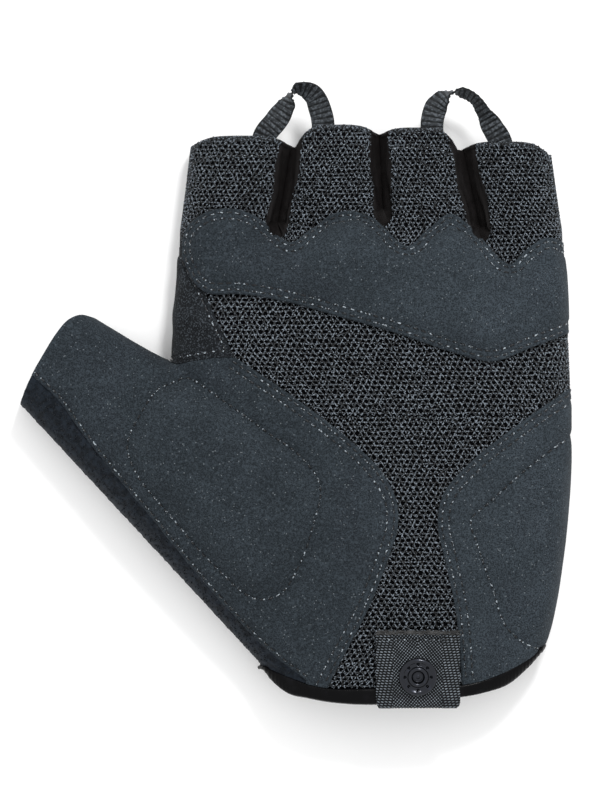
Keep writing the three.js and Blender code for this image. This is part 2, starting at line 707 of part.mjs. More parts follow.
function pressSnap() {
  const radius = SNAP_DIAMETER / 2;
  const hole = SNAP_HOLE / 2;
  const rows = [
    { r: hole, z: 0 },
    { r: radius * 0.94, z: 0 },
    { r: radius, z: 0.25 },
    { r: radius * 0.97, z: 0.62 },
    { r: radius * 0.88, z: 0.78 },
    { r: radius * 0.78, z: 0.66 },
    { r: radius * 0.56, z: 0.6 },
    { r: radius * 0.48, z: 0.95 },
    { r: radius * 0.4, z: 1 },
    { r: hole, z: 0.8 },
  ];
  const profile = rows.map((row) => new THREE.Vector2(row.r, row.z * SNAP_THICKNESS));
  const lathe = new THREE.LatheGeometry([...profile, profile[0]], SNAP_SIDES).rotateX(Math.PI / 2);
  const turned = solidOfGeometry(lathe);
  const ring = turned.volume() > 0 ? turned : turned.mirror([0, 0, 1]);
  const dent = solidOfGeometry(new THREE.CylinderGeometry(0.35, 0.25, 1, 6).rotateX(Math.PI / 2));
  const dents = Array.from({ length: SNAP_PRONGS }, (_, i) => {
    const angle = (2 * Math.PI * i) / SNAP_PRONGS;
    const spot = radius * 0.68;
    return dent.translate([spot * Math.cos(angle), spot * Math.sin(angle), SNAP_THICKNESS * 0.62 + 0.2]);
  });
  return ring.subtract(join(dents)).transform(snapSeat(radius).elements);
}

// Height of the glove's crown over the wrist, without its pads.
function wristHeight(x, y) {
  const { left, right, depth } = handShape(y / BODY_LENGTH);
  const place = (x - (left + right) / 2) / ((right - left) / 2);
  return SEAM_HEIGHT + (depth - SEAM_HEIGHT) * crownShare(place);
}

// The snap stands square on the tab, whose top leans towards the hem and the side.
function snapSeat(radius) {
  const [x, y] = [TAB_OFFSET, SNAP_FROM_HEM];
  const leanX = (wristHeight(x + radius, y) - wristHeight(x - radius, y)) / SNAP_DIAMETER;
  const leanY = (wristHeight(x, y + radius) - wristHeight(x, y - radius)) / SNAP_DIAMETER;
  const up = new THREE.Vector3(-leanX, -leanY, 1).normalize();
  const skin = new THREE.Vector3(x, y, wristHeight(x, y) + BAND_PROUD + TAB_CLOTH + PIECE_GAP);
  const turn = new THREE.Quaternion().setFromUnitVectors(new THREE.Vector3(0, 0, 1), up);
  return new THREE.Matrix4().compose(skin.addScaledVector(up, PIECE_GAP), turn, new THREE.Vector3(1, 1, 1));
}

// Pull loops

// Middle of the tape where it is sewn under a finger's palm side, and the slope of the cloth there.
function tapeFoot({ finger: index, place }, y) {
  const { left, right, depth } = fingerShape(index, y);
  const under = WALL + 3 * PIECE_GAP + TAPE_CLOTH / 2;
  const half = (right - left) / 2;
  const height = (at) => SEAM_HEIGHT + (depth - SEAM_HEIGHT) * crownShare(at) - under;
  const reach = TAPE_WIDTH / 2 / half;
  const slope = (height(place + reach) - height(place - reach)) / TAPE_WIDTH;
  const sag = height(place) - (height(place + reach) + height(place - reach)) / 2;
  return { point: new THREE.Vector3((left + right) / 2 + place * half, y, height(place) - sag), slope };
}

function pullLoop({ from, to, path }) {
  const hemOf = (foot) => FINGERS[foot.finger].hem * BODY_LENGTH;
  const [a, b] = [tapeFoot(from, hemOf(from)), tapeFoot(to, hemOf(to))];
  const tailA = tapeFoot(from, hemOf(from) - TAPE_TAIL).point;
  const tailB = tapeFoot(to, hemOf(to) - TAPE_TAIL).point;
  const between = path.map((row) => {
    const point = new THREE.Vector3().lerpVectors(a.point, b.point, row.across);
    return point.add(new THREE.Vector3(0, row.rise * LOOP_RISE, 0));
  });
  const spots = [tailA, a.point, ...between, b.point, tailB];
  const line = new THREE.CatmullRomCurve3(spots, false, "centripetal");
  const turns = [0, 0, ...path.map((row) => row.turn), 1, 1];
  const rings = [];
  for (let i = 0; i <= TAPE_STEPS; i++) {
    const t = i / TAPE_STEPS;
    const spot = Math.min(t * (turns.length - 1), turns.length - 1.001);
    const k = Math.floor(spot);
    const turn = THREE.MathUtils.lerp(turns[k], turns[k + 1], THREE.MathUtils.smoothstep(spot - k, 0, 1));
    const roll = Math.PI * turn + Math.atan(a.slope) * (1 - turn) - Math.atan(b.slope) * turn;
    const ahead = line.getTangent(t);
    const side = ahead.clone().cross(new THREE.Vector3(0, 0, 1)).normalize();
    const across = side.multiplyScalar(Math.cos(roll));
    across.setZ(Math.sin(roll)).normalize();
    const face = new THREE.Vector3().crossVectors(ahead, across).normalize();
    const middle = line.getPoint(t);
    const place = ([u, v]) => {
      const edge = middle.clone().addScaledVector(across, (u * TAPE_WIDTH) / 2);
      return edge.addScaledVector(face, (v * TAPE_CLOTH) / 2);
    };
    rings.push([[1, 1], [-1, 1], [-1, -1], [1, -1]].map(place));
  }
  return tube(rings, 2);
}

// Materials

const cloth = (color, roughness) => new THREE.MeshStandardMaterial({ color, roughness, metalness: 0 });
const suedeCloth = cloth(0x2c3138, 0.92);
const meshCloth = cloth(0x23272d, 0.75);
const backCloth = cloth(0x1d2024, 0.85);
const towellingCloth = cloth(0x191f27, 0.97);
const gussetCloth = cloth(0x1a1717, 0.7);
const bandCloth = cloth(0x0c0c0c, 0.55);
const tapeCloth = cloth(0x2b3035, 0.7);
const snapMetal = new THREE.MeshStandardMaterial({ color: 0x15181d, roughness: 0.3, metalness: 0.9 });

function meshOf(name, solid, material) {
  const { vertProperties, triVerts } = solid.getMesh();
  const geometry = new THREE.BufferGeometry();
  geometry.setAttribute("position", new THREE.BufferAttribute(new Float32Array(vertProperties), 3));
  geometry.setIndex(new THREE.BufferAttribute(new Uint32Array(triVerts), 1));
  geometry.computeVertexNormals();
  const mesh = new THREE.Mesh(geometry, material);
  mesh.name = name;
  return mesh;
}

// The glove

const glove = new THREE.Group();
glove.add(meshOf("palm_mesh", palmMesh, meshCloth));
glove.add(meshOf("knuckle_panel", knucklePanel, suedeCloth));
glove.add(meshOf("thumb_panel", thumbPanel, suedeCloth));
glove.add(meshOf("heel_panel", heelPanel, suedeCloth));
glove.add(meshOf("thumb_towelling", thumbTowelling, towellingCloth));
glove.add(meshOf("back_panel", backPanel, backCloth));
GUSSETS.forEach(({ name }, i) => glove.add(meshOf(name, gussets[i], gussetCloth)));
glove.add(meshOf("cuff_band", cuffBand, bandCloth));
glove.add(meshOf("wrist_tab", wristTab(), tapeCloth));
glove.add(meshOf("press_snap", pressSnap(), snapMetal));
LOOPS.forEach((loop) => glove.add(meshOf(loop.name, pullLoop(loop), tapeCloth)));

const extent = new THREE.Box3().setFromObject(glove);
const middle = extent.getCenter(new THREE.Vector3());
glove.position.set(-middle.x, -middle.y, 0);

export default glove;
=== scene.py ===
import math
from functools import partial

import bpy
import numpy as np
from bpy.props import FloatProperty, FloatVectorProperty, PointerProperty
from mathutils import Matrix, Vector
from mathutils.geometry import delaunay_2d_cdt


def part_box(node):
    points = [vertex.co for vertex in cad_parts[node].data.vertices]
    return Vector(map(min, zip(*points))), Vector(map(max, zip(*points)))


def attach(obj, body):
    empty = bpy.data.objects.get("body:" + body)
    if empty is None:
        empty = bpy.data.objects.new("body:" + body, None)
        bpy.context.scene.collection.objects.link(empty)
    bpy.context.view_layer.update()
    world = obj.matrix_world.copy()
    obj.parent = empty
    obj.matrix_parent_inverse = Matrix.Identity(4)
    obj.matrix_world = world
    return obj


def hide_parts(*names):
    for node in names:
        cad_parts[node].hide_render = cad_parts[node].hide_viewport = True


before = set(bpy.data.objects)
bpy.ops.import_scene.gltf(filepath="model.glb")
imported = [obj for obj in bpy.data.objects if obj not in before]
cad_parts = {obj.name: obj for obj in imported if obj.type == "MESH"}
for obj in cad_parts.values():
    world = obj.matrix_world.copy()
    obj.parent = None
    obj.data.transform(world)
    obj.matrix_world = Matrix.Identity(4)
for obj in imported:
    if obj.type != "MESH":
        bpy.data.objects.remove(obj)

bl_info = {
    "name": "Cycling Mitt",
    "version": (1, 0, 0),
    "blender": (4, 5, 0),
    "location": "View3D > Sidebar > Mitt",
    "description": "Dresses a padded cycling mitt in suede, knitted mesh, towelling, tape and stitching",
    "category": "Object",
}

MM = 1000.0  # millimetres in a metre; shapes below are worked out in millimetres

# Sizes taken from the frame
CUFF_HEM_SHARE = 0.005  # lowest point of the cuff, a share of the body's length
back_low, back_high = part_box("back_panel")
mesh_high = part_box("palm_mesh")[1]
cuff_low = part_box("cuff_band")[0]
PALM_WIDTH = (back_high.x - back_low.x) * MM
BODY_LENGTH = (mesh_high.y - cuff_low.y) * MM / (1 - CUFF_HEM_SHARE)
ORIGIN = np.array([back_high.x * MM - PALM_WIDTH / 2, mesh_high.y * MM - BODY_LENGTH, 0])

# Other sizes of the body
PALM_DEPTH = 24.0
FINGER_DEPTH = 15.5
THUMB_LENGTH = 92.0
THUMB_WIDTH = 30.0
THUMB_DEPTH = 16.5
THUMB_SPREAD = math.radians(47.2)
SEAM_HEIGHT = 7.5
KNUCKLE_BOW = 11.0
BOW_SHAPE = 1.5  # power of the knuckles' bow across the palm
KNUCKLE_ROLL = 8.0  # length over which the palm rolls down to the finger crotches
THUMB_ROLL = 0.12  # share of THUMB_LENGTH over which the thumb's root dies away in the palm
THUMB_MERGE = 5.0  # width over which the thumb rounds into the hand
FINGER_MERGE = 1.5  # the same for the fingers
GUSSET_WIDTH = 5.4
GUSSET_DEPTH = 4.0
HEM_CORNER = 5.5
SLIT = 0.1  # free space between two fingers where they touch
SOLID_SLIT = 0.4  # the same between the solids of the frame
PAST_HEMS = 12  # how far the outlines run on past the hems
WALL = 1.4
BAND_PROUD = 0.5
GAP = 0.3

# Wrist tab, snap and pull loops
TAB_WIDTH = 21.5
TAB_HEIGHT = 19.0
TAB_TAIL = 9.0
TAB_CLOTH = 1.0
TAB_CORNER = 2.5
TAB_OFFSET = 12.0
SNAP_RADIUS = 4.95
SNAP_THICKNESS = 1.5
SNAP_FROM_HEM = 8.2
SNAP_HOLE = 1.45
SNAP_PRONGS = 8
TAPE_WIDTH = 6.2
TAPE_CLOTH = 0.9
TAPE_TAIL = 6.0
LOOP_RISE = 11.4
TWILL_SLOPE = 1.25  # of the tab's diagonal ribs
SELVEDGE_END = 5.0  # from the tab's side to where its selvedge begins to show
SELVEDGE_FULL = 3.6  # from the tab's side to where there is only selvedge
SELVEDGE_PITCH = 1.1  # its ribs' pitch as a share of the diagonal ones'

# Roundness of the cross-sections: 2 is an ellipse, more is boxier
CROWN_ROUNDNESS = 2.35
BELLY_ROUNDNESS = 2.6
BELLY_PRESS = 1.18


def table(names, rows):
    """A table of rows under named columns, as one array for each column."""
    return dict(zip(names.split(), np.array(rows, float).T))


# Hand: at is a share of BODY_LENGTH, left and right of PALM_WIDTH, depth of PALM_DEPTH, bow of KNUCKLE_BOW
HAND = table("at left right depth bow", [
    (-0.1, -0.245, 0.29, 0.8, 0),
    (0, -0.256, 0.345, 0.82, 0),
    (0.06, -0.275, 0.4, 0.86, 0),
    (0.12, -0.31, 0.442, 0.91, 0),
    (0.25, -0.39, 0.478, 0.98, 0),
    (0.4, -0.465, 0.498, 1, 0),
    (0.55, -0.498, 0.5, 0.99, 0.15),
    (0.65, -0.498, 0.494, 0.94, 0.5),
    (0.73, -0.49, 0.489, 0.82, 0.85),
    (0.783, -0.483, 0.483, 0.58, 1),
])
# Thumb: at is a share of THUMB_LENGTH, width of THUMB_WIDTH and depth of THUMB_DEPTH
THUMB = table("at width depth", [
    (-0.16, 0.87, 0.94),
    (0, 1, 1),
    (0.16, 1.15, 1.08),
    (0.3, 1.33, 1.2),
    (0.5, 1.56, 1.33),
    (0.75, 1.68, 1.33),
    (1, 1.58, 1.2),
    (1.1, 1.45, 1.12),
])
THUMB_ROOT = (-0.278, 0.073)
# Lines between the fingers: shares of PALM_WIDTH at two heights up the body
FINGER_LINES = table("root tip", [
    (-0.479, -0.452),
    (-0.237, -0.199),
    (0.033, 0.021),
    (0.274, 0.227),
    (0.4795, 0.449),
])
LINE_ROOT = 0.82
LINE_TIP = 0.97
# Fingers: hem is a share of BODY_LENGTH, depth of FINGER_DEPTH, the drops of HEM_CORNER
FINGER_NAMES = ("index", "middle", "ring", "little")
FINGERS = table("hem depth drop_left drop_right", [
    (0.981, 0.98, 0.45, 0.55),
    (1, 1, 1, 0.45),
    (0.995, 1, 0.35, 1),
    (0.971, 0.94, 0.4, 0.6),
])
FINGER_START = 0.72
FINGER_RISE = 0.05  # share of BODY_LENGTH over which a finger's form rises out of the palm
SIDE_CHANGE = (0.74, 0.86)  # shares between which the hand's sides turn into the outer fingers'
# Cuff: shares of PALM_WIDTH and BODY_LENGTH
CUFF = table("x hem seam", [
    (-0.36, 0.035, 0.055),
    (-0.271, 0.064, 0.07),
    (-0.25, 0.046, 0.063),
    (-0.21, 0.0235, 0.052),
    (-0.16, 0.0155, 0.04),
    (-0.1, 0.0085, 0.032),
    (0.005, 0.005, 0.0325),
    (0.225, 0.017, 0.038),
    (0.285, 0.0245, 0.048),
    (0.342, 0.038, 0.0635),
    (0.392, 0.067, 0.0825),
    (0.42, 0.089, 0.098),
    (0.48, 0.13, 0.136),
])

# Seams and edges on the palm: shares of PALM_WIDTH and BODY_LENGTH
BACK_CLOTH_EDGE = [
    (-0.56, 0.9), (-0.505, 0.835), (-0.465, 0.773), (-0.419, 0.711), (-0.382, 0.655), (-0.344, 0.601),
]
THUMB_CROTCH_EDGE = [
    (-0.344, 0.601), (-0.389, 0.601), (-0.445, 0.595), (-0.492, 0.592), (-0.515, 0.62), (-0.56, 0.75),
    (-0.62, 1.1),
]
THUMB_PANEL_EDGE = [
    (-0.344, 0.601), (-0.269, 0.567), (-0.178, 0.524), (-0.06, 0.462), (0.025, 0.404), (0.063, 0.354),
    (0.065, 0.306), (0.04, 0.251), (-0.01, 0.165), (-0.09, 0.06), (-0.166, -0.05),
]
HEEL_PANEL_EDGE = [
    (0.575, 0.584), (0.495, 0.545), (0.374, 0.488), (0.246, 0.419), (0.178, 0.363), (0.166, 0.311),
    (0.186, 0.247), (0.211, 0.165), (0.226, 0.045), (0.239, -0.05),
]
KNUCKLE_PANEL_EDGE = [
    (-0.47, 0.77), (-0.465, 0.816), (-0.419, 0.847), (-0.354, 0.856), (-0.294, 0.844), (-0.201, 0.794),
    (-0.153, 0.816), (-0.098, 0.846), (-0.048, 0.851), (0.003, 0.837), (0.09, 0.789), (0.138, 0.816),
    (0.196, 0.847), (0.244, 0.825), (0.344, 0.758), (0.387, 0.784), (0.442, 0.806), (0.55, 0.763),
    (0.6, 0.71), (0.55, 0.663), (0.399, 0.617), (0.301, 0.593), (0.206, 0.608), (0.063, 0.641),
    (-0.093, 0.672), (-0.219, 0.696), (-0.329, 0.708), (-0.409, 0.71), (-0.447, 0.734),
]
THENAR_PAD_EDGE = [
    (-0.467, 0.565), (-0.367, 0.524), (-0.259, 0.471), (-0.178, 0.431), (-0.128, 0.38), (-0.146, 0.311),
    (-0.178, 0.247), (-0.229, 0.194), (-0.291, 0.187), (-0.394, 0.244), (-0.5, 0.327), (-0.585, 0.399),
    (-0.61, 0.449), (-0.578, 0.502), (-0.528, 0.548),
]
HEEL_PAD_EDGE = [
    (0.6, 0.49), (0.495, 0.461), (0.389, 0.409), (0.294, 0.351), (0.249, 0.321), (0.264, 0.28),
    (0.304, 0.201), (0.339, 0.136), (0.42, 0.1), (0.6, 0.12),
]
THUMB_BACK_EDGE = [
    (-0.62, 1.1), (-0.56, 0.75), (-0.515, 0.62), (-0.492, 0.592), (-0.44, 0.491), (-0.394, 0.354),
    (-0.34, 0.19), (-0.262, 0.05), (-0.235, -0.05),
]
# Edges on the thumb: shares of THUMB_LENGTH along it and of THUMB_WIDTH across it
THUMB_MOUTH = [
    (0.03, -0.2), (0, 0), (-0.03, 0.2), (-0.055, 0.43), (-0.076, 0.667), (-0.08, 0.8), (-0.068, 0.9),
    (-0.026, 0.985), (0.02, 1.1),
]
TOWELLING_EDGE = [
    (-0.2, 0.19), (0, 0.262), (0.08, 0.268), (0.15, 0.24), (0.3, 0.2), (0.49, 0.173), (0.74, 0.125),
    (0.92, 0.123), (1.01, 0.143), (1.12, 0.2),
]
# A gusset's rounded foot: at is a share of GUSSET_DEPTH above its lowest point, half of its width
GUSSET_FOOT = [(1.6, 0.5), (1.1, 0.49), (0.5, 0.42), (0.16, 0.3), (0, 0.14)]
GUSSETS = [("gusset_index_middle", 1.0), ("gusset_middle_ring", 0.85), ("gusset_ring_little", 1.12)]
# Pull loops: the two feet as a finger and a place across it, and the path between them as shares of
# the way across, of LOOP_RISE, and of a half twist
LOOPS = [
    ("loop_index_middle", (0, 0.45), (1, -0.33), [
        (0.2, 0.3, 0.1), (0.37, 0.61, 0.3), (0.43, 0.8, 0.5), (0.58, 0.93, 0.72), (0.83, 0.73, 0.88),
        (0.95, 0.35, 0.97),
    ]),
    ("loop_ring_little", (2, 0.34), (3, -0.13), [
        (0.04, 0.4, 0.08), (0.14, 0.7, 0.3), (0.27, 0.88, 0.5), (0.45, 0.94, 0.66), (0.63, 0.84, 0.66),
        (0.74, 0.62, 0.7), (0.88, 0.3, 0.88),
    ]),
]

FAR = 2 * BODY_LENGTH


# Lines

def smoothstep(low, high, value):
    t = np.clip((value - low) / (high - low), 0, 1)
    return t * t * (3 - 2 * t)


def bell(away, width):
    """1 at no distance, and dying away over a width."""
    return np.exp(-((away / width) ** 2))


def unit(vectors):
    return vectors / np.linalg.norm(vectors, axis=-1)[..., None]


def across_share(x, left, right):
    """A place between two sides, from -1 at the left to 1 at the right."""
    return (x - (left + right) / 2) / ((right - left) / 2)


def column(rows, name, at):
    """The value of one column at places between rows, on a smooth curve through them."""
    place, value = rows["at"], rows[name]
    last = len(place) - 1
    i = np.clip(np.searchsorted(place, at) - 1, 0, last - 1)
    before, after = np.maximum(i - 1, 0), np.minimum(i + 2, last)
    span = place[i + 1] - place[i]
    t = np.clip((at - place[i]) / span, 0, 1)
    leaving = (value[i + 1] - value[before]) / (place[i + 1] - place[before]) * span
    arriving = (value[after] - value[i]) / (place[after] - place[i]) * span
    rise = value[i + 1] - value[i]
    bend = 3 * rise - 2 * leaving - arriving
    return value[i] + t * leaving + t**2 * bend + t**3 * (leaving + arriving - 2 * rise)


def smooth_line(points, steps=12):
    """A centripetal curve through points, with steps places for each span."""
    p = np.asarray(points, float)
    p = np.vstack([2 * p[0] - p[1], p, 2 * p[-1] - p[-2]])
    gap = np.maximum(np.linalg.norm(np.diff(p, axis=0), axis=1) ** 0.5, 1e-4)[:, None]
    a, b, c, d = p[:-3], p[1:-2], p[2:-1], p[3:]
    before, here, after = gap[:-2], gap[1:-1], gap[2:]
    leaving = ((b - a) / before - (c - a) / (before + here) + (c - b) / here) * here
    arriving = ((c - b) / here - (d - b) / (here + after) + (d - c) / after) * here
    t = (np.arange(steps) / steps)[None, :, None]
    rise = (c - b)[:, None]
    start, end = leaving[:, None], arriving[:, None]
    spots = b[:, None] + t * start + t**2 * (3 * rise - 2 * start - end) + t**3 * (start + end - 2 * rise)
    return np.vstack([spots.reshape(-1, p.shape[1]), p[-2]])


def lengths(line):
    """Distance along a line at each of its points."""
    return np.concatenate([[0], np.cumsum(np.linalg.norm(np.diff(line, axis=0), axis=1))])


def along_line(line, distances):
    """Places at distances along a line."""
    walked = lengths(line)
    return np.stack([np.interp(distances, walked, line[:, k]) for k in range(line.shape[1])], axis=-1)


def resample(line, spacing):
    """The same line with even spacing."""
    total = lengths(line)[-1]
    return along_line(line, np.linspace(0, total, max(2, round(total / spacing) + 1)))


def on_palm(points):
    """Shares of PALM_WIDTH and BODY_LENGTH as places on the palm."""
    return np.asarray(points, float) * [PALM_WIDTH, BODY_LENGTH]


def on_thumb(along, across):
    """Lengths along and across the thumb as places on the palm."""
    root = on_palm(THUMB_ROOT)
    back = np.asarray(along, float) - THUMB_LENGTH
    x = root[0] + back * math.cos(THUMB_SPREAD) + across * math.sin(THUMB_SPREAD)
    y = root[1] - back * math.sin(THUMB_SPREAD) + across * math.cos(THUMB_SPREAD)
    return np.column_stack([x, y])


def thumb_place(x, y):
    """Places on the palm as lengths along and across the thumb."""
    root = on_palm(THUMB_ROOT)
    dx, dy = x - root[0], y - root[1]
    along = THUMB_LENGTH + dx * math.cos(THUMB_SPREAD) - dy * math.sin(THUMB_SPREAD)
    return along, dx * math.sin(THUMB_SPREAD) + dy * math.cos(THUMB_SPREAD)


def palm_line(points):
    return smooth_line(on_palm(points))


def palm_loop(points):
    """A closed line on the palm, smooth all the way round."""
    p = on_palm(points)
    wrapped = smooth_line(np.vstack([p[-2:], p, p[:2]]))
    return wrapped[24:-24]


def thumb_line(points):
    p = np.array(points)
    return smooth_line(on_thumb(p[:, 0] * THUMB_LENGTH, p[:, 1] * THUMB_WIDTH))


def cuff_line(name):
    return palm_line(np.column_stack([CUFF["x"], CUFF[name]]))


def finger_line(index, y):
    """The line between two fingers at heights up the body."""
    root, tip = FINGER_LINES["root"][index], FINGER_LINES["tip"][index]
    share = np.maximum(0, (y / BODY_LENGTH - LINE_ROOT) / (LINE_TIP - LINE_ROOT))
    return (root + (tip - root) * share) * PALM_WIDTH


def palm_sides(y):
    """Left and right side of the hand, and further up of the outer fingers."""
    at = np.asarray(y, float) / BODY_LENGTH
    t = smoothstep(*SIDE_CHANGE, at)
    left = column(HAND, "left", at) * PALM_WIDTH * (1 - t) + finger_line(0, y) * t
    right = column(HAND, "right", at) * PALM_WIDTH * (1 - t) + finger_line(4, y) * t
    return left, right


def finger_sides(index, y):
    """Left and right side of a finger at heights up the body."""
    left, right = palm_sides(y)
    if index > 0:
        left = finger_line(index, y) + SLIT / 2
    if index < 3:
        right = finger_line(index + 1, y) - SLIT / 2
    return left, right


# The body's form, as heights above and below the side seams

def crown_share(place):
    """How high a section's front is at places across it, from -1 to 1, as a share of its middle."""
    return np.clip(1 - np.abs(place) ** CROWN_ROUNDNESS, 0, 1) ** (1 / CROWN_ROUNDNESS)


def belly_share(place):
    """The same for its back, which is pressed flat."""
    share = np.clip(1 - np.abs(place) ** BELLY_ROUNDNESS, 0, 1) ** (1 / BELLY_ROUNDNESS)
    return np.minimum(1, BELLY_PRESS * share)


def blended(a, b, width):
    """The higher of two heights, rounded where they cross."""
    top = np.maximum(a, b)
    room = np.maximum(np.minimum(width, top), 1e-9)
    near = np.clip(1 - np.abs(a - b) / room, 0, 1)
    return top + near**2 * room / 4


def hand_height(x, y, share, reach):
    """The hand's form. Its sections are bowed with the knuckles, so a place's own is found in rounds."""
    end = HAND["at"][-1]
    at = y / BODY_LENGTH
    for _ in range(9):
        left, right = palm_sides(at * BODY_LENGTH)
        place = across_share(x, left, right)
        bow = column(HAND, "bow", at) * KNUCKLE_BOW
        at = (y - bow * np.clip(1 - np.abs(place) ** BOW_SHAPE, 0, 1)) / BODY_LENGTH
    roll = share(1 - np.clip((end - at) * BODY_LENGTH / KNUCKLE_ROLL, 0, 1))
    height = reach(column(HAND, "depth", at) * PALM_DEPTH) * share(place) * roll
    return np.where(np.abs(place) < 1, height, 0)


def thumb_height(x, y, share, reach):
    along, across = thumb_place(x, y)
    at = along / THUMB_LENGTH
    half = column(THUMB, "width", at) * THUMB_WIDTH / 2
    place = across / half - 1
    roll = share(1 - np.clip((THUMB["at"][-1] - at) / THUMB_ROLL, 0, 1))
    height = reach(column(THUMB, "depth", at) * THUMB_DEPTH) * share(place) * roll
    return np.where((np.abs(place) < 1) & (at > THUMB["at"][0]), height, 0)


def finger_height(index, x, y, share, reach):
    left, right = finger_sides(index, y)
    place = across_share(x, left, right)
    depth = np.full(np.shape(x), FINGERS["depth"][index] * FINGER_DEPTH)
    risen = smoothstep(FINGER_START, FINGER_START + FINGER_RISE, y / BODY_LENGTH)
    return np.where(np.abs(place) < 1, reach(depth) * share(place) * risen, 0)


def body_height(x, y, share, reach):
    """Height of the whole body, where share rounds a section and reach makes a depth into a height."""
    height = blended(hand_height(x, y, share, reach), thumb_height(x, y, share, reach), THUMB_MERGE)
    fingers = np.max([finger_height(i, x, y, share, reach) for i in range(4)], axis=0)
    return blended(height, fingers, FINGER_MERGE)


def crown(x, y):
    """Height of the front over the side seams."""
    return body_height(x, y, crown_share, lambda depth: depth - SEAM_HEIGHT)


def belly(x, y):
    """Depth of the back under the side seams."""
    flat = body_height(x, y, belly_share, lambda depth: np.full(np.shape(depth), SEAM_HEIGHT))
    return np.minimum(flat, SEAM_HEIGHT)


FRONT = (crown, 1.0)
BACK = (belly, -1.0)
STEP = 0.02  # over which the body's slope is measured


def skin(side, spots, lift):
    """Places on a side of the body, lifted off it, and the body's normals there."""
    field, up = side
    x, y = spots[:, 0], spots[:, 1]
    slope_x = (field(x + STEP, y) - field(x - STEP, y)) / (2 * STEP)
    slope_y = (field(x, y + STEP) - field(x, y - STEP)) / (2 * STEP)
    normal = unit(np.column_stack([-slope_x, -slope_y, np.full(len(x), up)]))
    point = np.column_stack([x, y, SEAM_HEIGHT + up * field(x, y)])
    return point + normal * np.reshape(lift, (-1, 1)), normal


# Outlines

def crossings(a, b):
    """Where line a crosses line b: a's spans, b's spans and the points."""
    p, r = a[:-1, None], np.diff(a, axis=0)[:, None]
    q, s = b[None, :-1], np.diff(b, axis=0)[None]
    cross = r[..., 0] * s[..., 1] - r[..., 1] * s[..., 0]
    cross = np.where(np.abs(cross) < 1e-12, 1e-12, cross)
    gap = q - p
    t = (gap[..., 0] * s[..., 1] - gap[..., 1] * s[..., 0]) / cross
    u = (gap[..., 0] * r[..., 1] - gap[..., 1] * r[..., 0]) / cross
    i, j = np.nonzero((t >= 0) & (t < 1) & (u >= 0) & (u < 1))
    return i, j, a[i] + t[i, j][:, None] * (a[i + 1] - a[i])


def body_outline():
    """The outline of hand, thumb and outer fingers, running on beyond every mouth."""
    up = np.linspace(HAND["at"][0] * BODY_LENGTH, BODY_LENGTH + PAST_HEMS, 200)
    left, right = palm_sides(up)
    along = np.linspace(THUMB["at"][0], THUMB["at"][-1], 90) * THUMB_LENGTH
    upper = on_thumb(along, column(THUMB, "width", along / THUMB_LENGTH) * THUMB_WIDTH)
    lower = on_thumb(along, 0 * along)
    down = np.column_stack([left, up])[::-1]
    crotch, j, crotch_spot = (found[0] for found in crossings(down, upper))
    wrist, k, wrist_spot = (found[0] for found in crossings(down, lower))
    return np.vstack([
        np.column_stack([right, up]), down[:crotch + 1], crotch_spot, upper[:j + 1][::-1],
        lower[:k + 1], wrist_spot, down[wrist + 1:],
    ])


def crotch_height(line):
    """Height up the body of the crotch between two fingers."""
    place = finger_line(line, LINE_ROOT * BODY_LENGTH) / (PALM_WIDTH / 2)
    return HAND["at"][-1] * BODY_LENGTH + KNUCKLE_BOW * (1 - abs(place) ** BOW_SHAPE)


def slit_outline(line):
    """The narrow gap between two fingers, from its crotch to beyond the hems."""
    y = np.linspace(crotch_height(line), BODY_LENGTH + PAST_HEMS - 1, 40)
    x = finger_line(line, y)
    foot = [[finger_line(line, y[0]), y[0] - 0.4]]
    return np.vstack([foot, np.column_stack([x + SLIT / 2, y]), np.column_stack([x - SLIT / 2, y])[::-1]])


def finger_hem(index):
    """A finger's hem from its left to its right side."""
    y = FINGERS["hem"][index] * BODY_LENGTH
    left, right = finger_sides(index, y)
    place = np.sin(np.linspace(-1, 1, 61) * math.pi / 2)
    drop = np.where(place < 0, FINGERS["drop_left"][index], FINGERS["drop_right"][index])
    x = (left + right) / 2 + place * (right - left) / 2
    return np.column_stack([x, y - drop * HEM_CORNER * np.abs(place) ** 4])


def gusset_outline(index):
    """A gusset's outline, which sways a little, from its rounded foot to beyond the hems."""
    line, width = index + 1, GUSSETS[index][1] * GUSSET_WIDTH
    bottom = crotch_height(line) - GUSSET_DEPTH
    foot = np.array(GUSSET_FOOT)
    y = bottom + foot[:, 0] * GUSSET_DEPTH
    high = np.linspace(y[0], BODY_LENGTH + PAST_HEMS - 2, 60)[::-1][:-1]
    y, half = np.concatenate([high, y]), np.concatenate([np.full(len(high), 0.5), foot[:, 1]])
    above = y - bottom
    sway = [0.3 * np.sin(0.42 * above + turn + line) * smoothstep(0, 3, above) for turn in (0, 2)]
    right = np.column_stack([finger_line(line, y) + half * width + sway[0], y])
    left = np.column_stack([finger_line(line, y) - half * width + sway[1], y])[::-1]
    return np.vstack([right, left])


def closed(line):
    return np.vstack([line, line[:1]])


def inside(loop, spots):
    """Which places lie inside a closed outline."""
    x, y = spots[:, 0], spots[:, 1]
    found = np.zeros(len(spots), bool)
    for (ax, ay), (bx, by) in zip(loop, np.roll(loop, -1, axis=0)):
        if ay != by:
            found ^= ((ay > y) != (by > y)) & (x < ax + (bx - ax) * (y - ay) / (by - ay))
    return found


